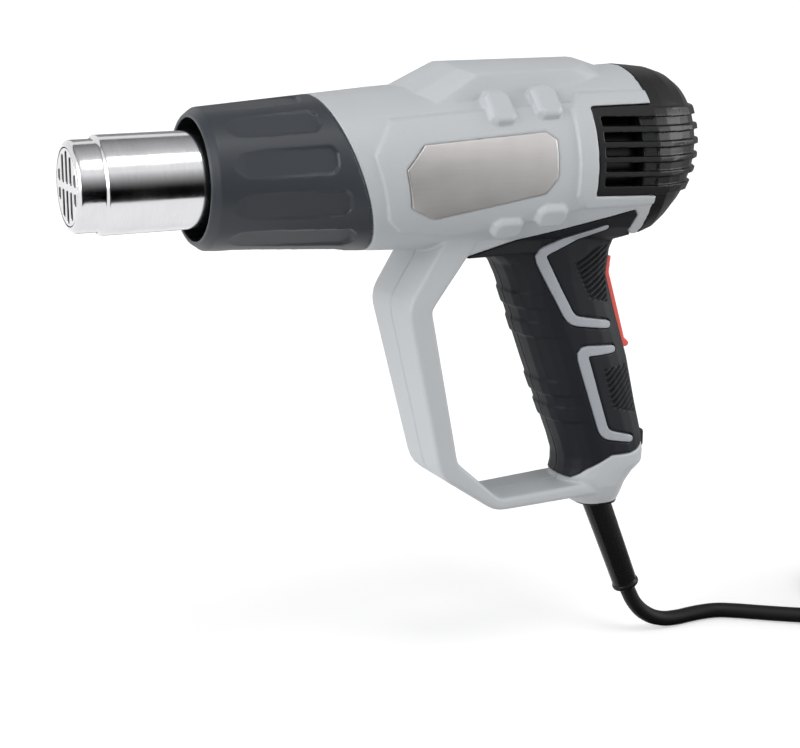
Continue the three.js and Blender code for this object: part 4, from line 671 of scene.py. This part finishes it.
class HOTAIR_OT_stage(bpy.types.Operator):
    """Camera at the picture's angle, pale floor, soft light and a white surround"""

    bl_idname = "hot_air.stage"
    bl_label = "Stage"

    def execute(self, context):
        stage = settings().stage
        self.add_camera(context, stage)
        self.add_floor(stage)
        self.add_front_tray()
        self.add_back_tray()
        self.add_badge_card()
        self.add_ceiling()
        self.add_surround(context, stage)
        self.add_lamp("key_lamp", stage.key, stage.key_from, stage.spread)
        self.add_lamp("top_lamp", stage.top, stage.top_from, stage.top_spread)
        self.add_lamp("fill_lamp", stage.fill, stage.fill_from, stage.spread)
        context.scene.view_settings.view_transform = "Standard"
        return {"FINISHED"}

    def add_camera(self, context, stage):
        camera = bpy.data.cameras.new("camera")
        camera.lens = stage.lens
        camera.sensor_fit = "HORIZONTAL"
        camera.clip_end = CAMERA_REACH
        holder = new_object("camera", camera)
        place = Vector(stage.camera_place)
        holder.location = place
        holder.rotation_euler = (Vector(stage.camera_target) - place).to_track_quat("-Z", "Y").to_euler()
        context.scene.camera = holder

    def add_floor(self, stage):
        work = bmesh.new()
        bmesh.ops.create_grid(work, x_segments=FLOOR_CELLS, y_segments=FLOOR_CELLS, size=FLOOR_REACH)
        bmesh.ops.translate(work, verts=work.verts, vec=(0, 0, FLOOR_Z))
        floor = new_object("floor", mesh_of(work, "floor"))
        shader = self.matt(floor, "floor", stage.floor)
        tree = floor.data.materials[0].node_tree
        glow = maths(tree, "MULTIPLY", self.seen_directly(tree), stage.floor_glow)
        tree.links.new(glow, shader.inputs["Emission Color"])
        shader.inputs["Emission Strength"].default_value = 1.0

    def add_front_tray(self):
        """A tray in front of the tool, black at its foot and white at its rim, for the outlet tube."""
        work = self.tray(*FRONT_TRAY)
        self.keep_one_side(work, MIRROR_ACROSS)
        shader, tree = self.add_mirrored("front_tray", work)
        above = maths(tree, "SUBTRACT", self.place_along(tree, "Z"), FLOOR_Z)
        height = maths(tree, "DIVIDE", maths(tree, "MAXIMUM", above, 0.0), TRAY_RIM - FLOOR_Z)
        tree.links.new(maths(tree, "POWER", height, FRONT_POWER), shader.inputs["Emission Color"])

    def add_back_tray(self):
        """A grey tray behind the tool, which shows where dark pieces turn away from the camera."""
        shader, _ = self.add_mirrored("back_tray", self.tray(*BACK_TRAY))
        shader.inputs["Emission Color"].default_value = (BACK_GREY, BACK_GREY, BACK_GREY, 1)

    def tray(self, first, sweep):
        """A part of a round tray on the floor, between two bearings in degrees."""
        work = bmesh.new()
        ground = FLOOR_Z + CARD_LIFT
        knots = ((TRAY_INNER, 0, ground), (TRAY_OUTER, 0, ground), (TRAY_OUTER, 0, TRAY_RIM))
        corners = [work.verts.new(place) for place in knots]
        edges = [work.edges.new(pair) for pair in zip(corners, corners[1:])]
        bmesh.ops.rotate(work, verts=corners, matrix=Matrix.Rotation(math.radians(first), 3, "Z"))
        bmesh.ops.spin(
            work, geom=corners + edges, axis=(0, 0, 1), angle=math.radians(sweep), steps=TRAY_STEPS
        )
        bmesh.ops.translate(work, verts=work.verts, vec=(GUARD_X, 0, 0))
        return work

    def add_badge_card(self):
        """A card on the floor, dark near the tool and paler away from it, for the badge."""
        work = bmesh.new()
        self.add_level(work, (*BADGE_CARD, FLOOR_Z + CARD_LIFT), BADGE_CARD_SIZE)
        self.keep_one_side(work, -MIRROR_ACROSS)
        shader, tree = self.add_mirrored("badge_card", work)
        shade = maths(tree, "MULTIPLY", self.place_along(tree, "Y"), BADGE_CARD_SLOPE)
        tree.links.new(shade, shader.inputs["Emission Color"])

    def add_ceiling(self):
        """A card overhead, darker towards the back: the grey band along the top of bright metal."""
        work = bmesh.new()
        self.add_level(work, CEILING, CEILING_SIZE)
        shader, tree = self.add_mirrored("ceiling", work)
        slope = maths(tree, "MULTIPLY", self.place_along(tree, "Y"), CEILING_SLOPE)
        shade = maths(tree, "MAXIMUM", maths(tree, "ADD", slope, CEILING_MIDDLE), 0.0)
        tree.links.new(shade, shader.inputs["Emission Color"])

    def add_level(self, work, middle, size):
        """A level rectangle."""
        unit_half = 0.5
        bmesh.ops.create_grid(work, x_segments=1, y_segments=1, size=unit_half)
        bmesh.ops.scale(work, verts=work.verts, vec=(*size, 1))
        bmesh.ops.translate(work, verts=work.verts, vec=middle)

    def keep_one_side(self, work, away):
        """Cuts off what lies beyond the plane that parts the tube's mirror view from the badge's."""
        parts = work.verts[:] + work.edges[:] + work.faces[:]
        bmesh.ops.bisect_plane(
            work, geom=parts, plane_co=(MIRROR_X, 0, 0), plane_no=away, clear_outer=True
        )

    def place_along(self, tree, axis):
        """Socket with the place along one axis."""
        place = tree.nodes.new("ShaderNodeTexCoord")
        split = tree.nodes.new("ShaderNodeSeparateXYZ")
        tree.links.new(place.outputs["Object"], split.inputs[0])
        return split.outputs[axis]

    def add_mirrored(self, name, work):
        """Stages a glowing piece that only reflections show; returns its shader and node tree."""
        piece = new_object(name, mesh_of(work, name))
        shader = self.matt(piece, name, (0, 0, 0, 1))
        shader.inputs["Emission Strength"].default_value = 1.0
        piece.visible_camera = False
        piece.visible_diffuse = False
        piece.visible_transmission = False
        piece.visible_shadow = False
        return shader, piece.data.materials[0].node_tree

    def matt(self, piece, name, shade):
        """Gives a piece of the stage a matt material, and returns its shader."""
        material = bpy.data.materials.new(name)
        material.use_nodes = True
        shader = material.node_tree.nodes["Principled BSDF"]
        shader.inputs["Base Color"].default_value = shade
        shader.inputs["Roughness"].default_value = 1.0
        shader.inputs["Specular IOR Level"].default_value = 0.0
        piece.data.materials.append(material)
        return shader

    def seen_directly(self, tree):
        """1 for what the camera sees, also in a mirror or through glass."""
        path = tree.nodes.new("ShaderNodeLightPath")
        seen = maths(tree, "MAXIMUM", path.outputs["Is Camera Ray"], path.outputs["Is Glossy Ray"])
        return maths(tree, "MAXIMUM", seen, path.outputs["Is Transmission Ray"])

    def add_surround(self, context, stage):
        world = bpy.data.worlds.new("surround")
        world.use_nodes = True
        tree = world.node_tree
        background = tree.nodes["Background"]
        background.inputs["Color"].default_value = (1, 1, 1, 1)
        lift = maths(tree, "MULTIPLY", self.seen_directly(tree), 1 - stage.ambient)
        tree.links.new(maths(tree, "ADD", lift, stage.ambient), background.inputs["Strength"])
        context.scene.world = world

    def add_lamp(self, name, strength, source, spread):
        lamp = bpy.data.lights.new(name, "SUN")
        lamp.energy = strength
        lamp.angle = spread
        holder = new_object(name, lamp)
        holder.location = Vector(source)
        holder.rotation_euler = (-Vector(source)).to_track_quat("-Z", "Y").to_euler()


class HOTAIR_OT_cord(bpy.types.Operator):
    """Power cord from the tool to its coil, with the sleeve, tie and plug"""

    bl_idname = "hot_air.cord"
    bl_label = "Cord"

    def execute(self, context):
        cord = settings().cord
        line = [part_point(point) for point in CORD_ROUTE] + self.coil_line(cord)
        curve = bpy.data.curves.new("mains_cord", "CURVE")
        curve.dimensions = "3D"
        curve.bevel_depth = cord.diameter / 2
        curve.bevel_resolution = CORD_FINENESS
        curve.resolution_u = CORD_FINENESS
        curve.use_fill_caps = True
        spline = curve.splines.new("BEZIER")
        spline.bezier_points.add(len(line) - 1)
        for knot, place in zip(spline.bezier_points, line):
            knot.co = place
            knot.handle_left_type = "AUTO"
            knot.handle_right_type = "AUTO"
        piece = dress(new_object("mains_cord", curve), "cord", "power_cord", "cord_coil")
        small = settings().moulding.small_voxel
        moulding("cord_sleeve", "strain_relief", "cord", small, passes=3, look="sleeve")
        tie = moulding("coil_tie", "cord_tie", "black", small, passes=2)
        plug = moulding("plug_moulding", "plug_body", "black", 2 * small, passes=10)
        pins = [
            moulding(f"round_pin_{pin}", f"plug_pin_{pin}", "steel", small, passes=6) for pin in (1, 2)
        ]
        return {"FINISHED"}

    def coil_line(self, cord):
        """Loops that go in and out again layer by layer, then down to the plug."""
        swing = COIL_TURNS * cord.coil_pitch / 2
        ground = FLOOR_Z + COIL_LIFT + cord.diameter / 2
        line = []
        angle = COIL_START

        def add(radius, height):
            x = COIL_CENTRE.x + radius * math.cos(angle)
            y = COIL_CENTRE.y + radius * math.sin(angle)
            line.append(Vector((x, y, ground + height)))

        for layer in range(COIL_LAYERS):
            inwards = 1 if layer % 2 == 0 else -1
            steps = round(COIL_TURNS * COIL_STEPS)
            for step in range(steps):
                add(cord.coil_radius + inwards * swing * (1 - 2 * step / steps), layer * cord.layer_pitch)
                angle += math.tau * COIL_TURNS / steps
            if layer == COIL_LAYERS - 1:
                break
            for step in range(COIL_STEPS // 2):
                climb = (1 - math.cos(math.pi * step / (COIL_STEPS / 2))) / 2
                add(cord.coil_radius - inwards * swing, (layer + climb) * cord.layer_pitch)
                angle += math.tau / COIL_STEPS
        add(cord.coil_radius + swing, (COIL_LAYERS - 1) * cord.layer_pitch)
        onward = Vector((-math.sin(angle), math.cos(angle), 0))
        last = line[-1].copy()
        for share in (0.2, 0.4, 0.6, PLUG_LANDING, 1.0):
            drop = (1 - math.cos(math.pi * min(share / PLUG_LANDING, 1.0))) / 2
            place = last + onward * PLUG_TAIL * share
            place.z = last.z + drop * (FLOOR_Z + PLUG_AXIS - last.z)
            line.append(place)
        return line


class HOTAIR_OT_housing(bpy.types.Operator):
    """The two light grey housing halves with rounded edges, and the bare badge plates"""

    bl_idname = "hot_air.housing"
    bl_label = "Housing"

    def execute(self, context):
        grid = settings().moulding
        rises = (0.0, PANEL_RISE, collar_rise)
        plate_rises = (PANEL_RISE + BADGE_PROUD,)
        for side, outwards in SIDES.items():
            moulding(
                f"shell_{side}", f"housing_{side}", "shell", grid.shell_voxel, passes=4, rises=rises,
                press=lambda verts: flatten_parting(verts, outwards),
            )
            moulding(
                f"plate_{side}", f"badge_{side}", "badge", grid.small_voxel, passes=2, rises=plate_rises
            )
        return {"FINISHED"}


class HOTAIR_OT_nose(bpy.types.Operator):
    """Fluted nose guard, bright outlet and its grille"""

    bl_idname = "hot_air.nose"
    bl_label = "Nose"

    def execute(self, context):
        grid = settings().moulding
        guard = moulding("fluted_guard", "nose_guard", "guard", grid.guard_voxel, passes=2, rises=(0.0,))
        # the black on the guard's inside is painted shade
        self.paint_inside_shade(guard)
        dress(self.tube(), "chrome", "outlet_tube")
        moulding("slotted_grille", "outlet_grille", "chrome", grid.grille_voxel, passes=3)
        paint("ceramic", "tube_flange", "heater_core")
        paint("mica", "mica_sleeve")
        paint("steel", "heater_wire", "thermal_cutout")
        return {"FINISHED"}

    def paint_inside_shade(self, guard):
        """Gives the faces that look at the barrel's axis the black finish, as painted shade inside the
        mouth.
        """
        guard.data.materials.append(finish("black"))
        for face in guard.data.polygons:
            across = Vector((0, face.center.y, face.center.z - AXIS_Z))
            if across.length < SHADE_INSIDE_RADIUS and face.normal.dot(across.normalized()) < -SHADE_INWARD_FACING:
                face.material_index = 1

    def tube(self):
        """The stepped tube with its rolled lip, turned round the barrel's axis."""
        work = bmesh.new()
        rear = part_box("outlet_tube")[1][0] + ORIGIN.x
        knots = [(x * MM, radius * MM) for x, radius in self.outside()]
        knots += [(rear, OUTLET_RADIUS), (rear, OUTLET_RADIUS - OUTLET_WALL)]
        knots += [(x * MM, radius * MM) for x, radius in OUTLET_INSIDE]
        line = [work.verts.new((x - ORIGIN.x, 0, AXIS_Z + radius)) for x, radius in knots]
        edges = [work.edges.new(pair) for pair in zip(line, line[1:] + line[:1])]
        bmesh.ops.spin(
            work, geom=line + edges, cent=(0, 0, AXIS_Z), axis=(1, 0, 0), angle=math.tau, steps=TUBE_STEPS,
            use_merge=True,
        )
        bmesh.ops.recalc_face_normals(work, faces=work.faces)
        return smooth_piece("bright_tube", mesh_of(work, "bright_tube"), TUBE_SHARP)

    def outside(self):
        """Outside of the tube from its lip back to the step, millimetres from the tip."""
        lip, front = OUTLET_LIP, OUTLET_FRONT
        turn = [math.radians(angle) for angle in range(0, 91, 15)]
        roll = [(lip - lip * math.cos(angle), front - lip + lip * math.sin(angle)) for angle in turn]
        start, end = OUTLET_STEP
        rise = OUTLET_RADIUS / MM - front
        step = [
            (start + share * (end - start), front + rise * (1 - math.cos(math.pi * share)) / 2)
            for share in (0, 0.2, 0.4, 0.6, 0.8, 1)
        ]
        return roll + step


class HOTAIR_OT_rear(bpy.types.Operator):
    """Vented rear cap with dark plates inside as painted shade in the vents, blower and control board"""

    bl_idname = "hot_air.rear"
    bl_label = "Rear"

    def execute(self, context):
        grid = settings().moulding
        rises = (0.0, RIB_RISE, -VENT_FLOOR)
        moulding("vented_cap", "rear_cap", "black", grid.cap_voxel, passes=4, rises=rises)
        for side, outwards in SIDES.items():
            # dark plates behind the slots are painted shade inside the vents
            dress(self.screen(f"vent_shade_plate_{side}", outwards), "black")
        paint("black", "fan_duct", "impeller", "motor_mount", "rectifier")
        paint("steel", "motor_shaft", "motor_can")
        paint("board", "control_board")
        return {"FINISHED"}

    def screen(self, name, outwards):
        """A dark curved plate behind the slots of one side: painted shade inside the vents."""
        work = bmesh.new()
        ends = [SEAM_X - end for end in SHADE_PLATE_ENDS]
        line = [work.verts.new((x, 0, AXIS_Z + barrel_radius(x) - SHADE_PLATE_DEPTH)) for x in ends]
        edge = work.edges.new(line)
        first, last = (math.radians(angle) for angle in SHADE_PLATE_ARC)
        bmesh.ops.rotate(
            work, verts=line, cent=(0, 0, AXIS_Z), matrix=Matrix.Rotation(-outwards * first, 3, "X")
        )
        bmesh.ops.spin(
            work, geom=line + [edge], cent=(0, 0, AXIS_Z), axis=(-outwards, 0, 0), angle=last - first,
            steps=SHADE_PLATE_STEPS,
        )
        bmesh.ops.recalc_face_normals(work, faces=work.faces)
        bmesh.ops.solidify(work, geom=work.faces[:], thickness=SHADE_PLATE_WALL)
        return smooth_piece(name, mesh_of(work, name), EDGE_SHARP)


class HOTAIR_OT_grip(bpy.types.Operator):
    """Soft grip with ribbed pads, its tail and its trims"""

    bl_idname = "hot_air.grip"
    bl_label = "Grip"

    def execute(self, context):
        grid = settings().moulding
        for side, outwards in SIDES.items():
            moulding(
                f"soft_{side}", f"grip_{side}", "soft", grid.grip_voxel, grid.rounding,
                press=lambda verts: self.press_side(verts, outwards),
            )
            for level in ("upper", "lower"):
                which = f"{level}_{side}"
                moulding(f"trim_{which}", f"chevron_{which}", "trim", grid.small_voxel, grid.rounding)
        dress(self.tail(), "soft")
        return {"FINISHED"}

    def press_side(self, verts, outwards):
        """Presses the slanting ribs of the pads into one side of the grip, and flattens its parting."""
        flatten_parting(verts, outwards)
        for vert in verts:
            if vert.normal.y * outwards < PAD_FACING:
                continue
            place = (vert.co + ORIGIN) / MM
            for corners, lean in PADS:
                inside = inside_by((place.x, place.z), corners)
                if inside > 0:
                    slope = math.radians(lean)
                    crossed = place.z * math.cos(slope) - place.x * math.sin(slope)
                    groove = 1 - abs(math.cos(math.pi * crossed / PAD_PITCH))
                    vert.co += vert.normal * (PAD_PROUD - PAD_DEPTH * groove) * min(inside / PAD_EDGE, 1)

    def tail(self):
        """The small tongue at the foot of the grip's back."""
        work = bmesh.new()
        bmesh.ops.create_cube(work, size=1)
        bmesh.ops.scale(work, verts=work.verts, vec=TAIL_SIZE)
        bmesh.ops.bevel(
            work, geom=work.edges[:], offset=TAIL_ROUNDING, offset_type="OFFSET", affect="EDGES",
            segments=TAIL_SEGMENTS, profile=0.5, material=-1,
        )
        bmesh.ops.translate(work, verts=work.verts, vec=part_point(TAIL_PLACE))
        return smooth_piece("grip_tail", mesh_of(work, "grip_tail"))


class HOTAIR_OT_switch(bpy.types.Operator):
    """Rocker switch, its pin and body, screws, clamp and leads"""

    bl_idname = "hot_air.switch"
    bl_label = "Switch and fasteners"

    def execute(self, context):
        grid = settings().moulding
        moulding("rocker_red", "switch_rocker", "red", grid.small_voxel, passes=4, body="rocker")
        paint("steel", "rocker_pin", "clamp_screw_1", "clamp_screw_2")
        for number in range(1, HOUSING_SCREWS + 1):
            node = f"housing_screw_{number}"
            dress(self.cross_screw(f"cross_screw_{number}", node), "steel", node)
        paint("black", "switch_body", "cord_clamp")
        for side in SIDES:
            paint("cord", f"supply_lead_{side}", f"motor_lead_{side}")
        return {"FINISHED"}

    def cross_screw(self, name, node):
        """A pan-head screw turned round its own axis, with a cross recess in its head."""
        low, high = (Vector(corner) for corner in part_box(node))
        middle = (low + high) / 2
        outline = [(radius * MM, high.y - down * MM) for radius, down in SCREW_HEAD]
        outline += [(SCREW_RADIUS, outline[-1][1]), (SCREW_RADIUS, low.y), (0, low.y)]
        work = bmesh.new()
        line = [work.verts.new((middle.x + radius, y, middle.z)) for radius, y in outline]
        edges = [work.edges.new(pair) for pair in zip(line, line[1:])]
        bmesh.ops.spin(
            work, geom=line + edges, cent=middle, axis=(0, 1, 0), angle=math.tau, steps=SCREW_STEPS,
            use_merge=True,
        )
        bmesh.ops.remove_doubles(work, verts=work.verts, dist=JOIN_WITHIN)
        bmesh.ops.recalc_face_normals(work, faces=work.faces)
        mesh = mesh_of(work, name)
        for turn in (0, math.pi / 2):
            mesh = self.recessed(mesh, Vector((middle.x, high.y, middle.z)), turn)
        return smooth_piece(name, mesh, EDGE_SHARP)

    def recessed(self, mesh, place, turn):
        """The mesh with one bar of the cross cut out of it."""
        work = bmesh.new()
        bmesh.ops.create_cube(work, size=1)
        bmesh.ops.scale(work, verts=work.verts, vec=SCREW_RECESS)
        bmesh.ops.rotate(work, verts=work.verts, matrix=Matrix.Rotation(turn, 3, "Y"))
        bmesh.ops.translate(work, verts=work.verts, vec=place)
        cutter = new_object("recess", mesh_of(work, "recess"))
        cut = modified(mesh, "BOOLEAN", operation="DIFFERENCE", solver="EXACT", object=cutter)
        bpy.data.objects.remove(cutter)
        return cut


STEPS = (
    HOTAIR_OT_stage, HOTAIR_OT_cord, HOTAIR_OT_housing, HOTAIR_OT_nose,
    HOTAIR_OT_rear, HOTAIR_OT_grip, HOTAIR_OT_switch,
)


class HOTAIR_PT_tool(bpy.types.Panel):
    """Lists the pieces of the hot air tool"""

    bl_idname = "HOTAIR_PT_tool"
    bl_label = "Hot Air Tool"
    bl_space_type = "VIEW_3D"
    bl_region_type = "UI"
    bl_category = "Hot Air Tool"

    def draw(self, context):
        for step in STEPS:
            self.layout.operator(step.bl_idname)


CLASSES = (
    HotAirFinishes, HotAirMoulding, HotAirCord, HotAirStage, HotAirSettings, *STEPS, HOTAIR_PT_tool
)


def register():
    for item in CLASSES:
        bpy.utils.register_class(item)
    bpy.types.Scene.hot_air = PointerProperty(type=HotAirSettings)


def unregister():
    del bpy.types.Scene.hot_air
    for item in reversed(CLASSES):
        bpy.utils.unregister_class(item)


def main():
    register()
    for step in STEPS:
        group, name = step.bl_idname.split(".")
        getattr(getattr(bpy.ops, group), name)()


if __name__ == "__main__":
    main()
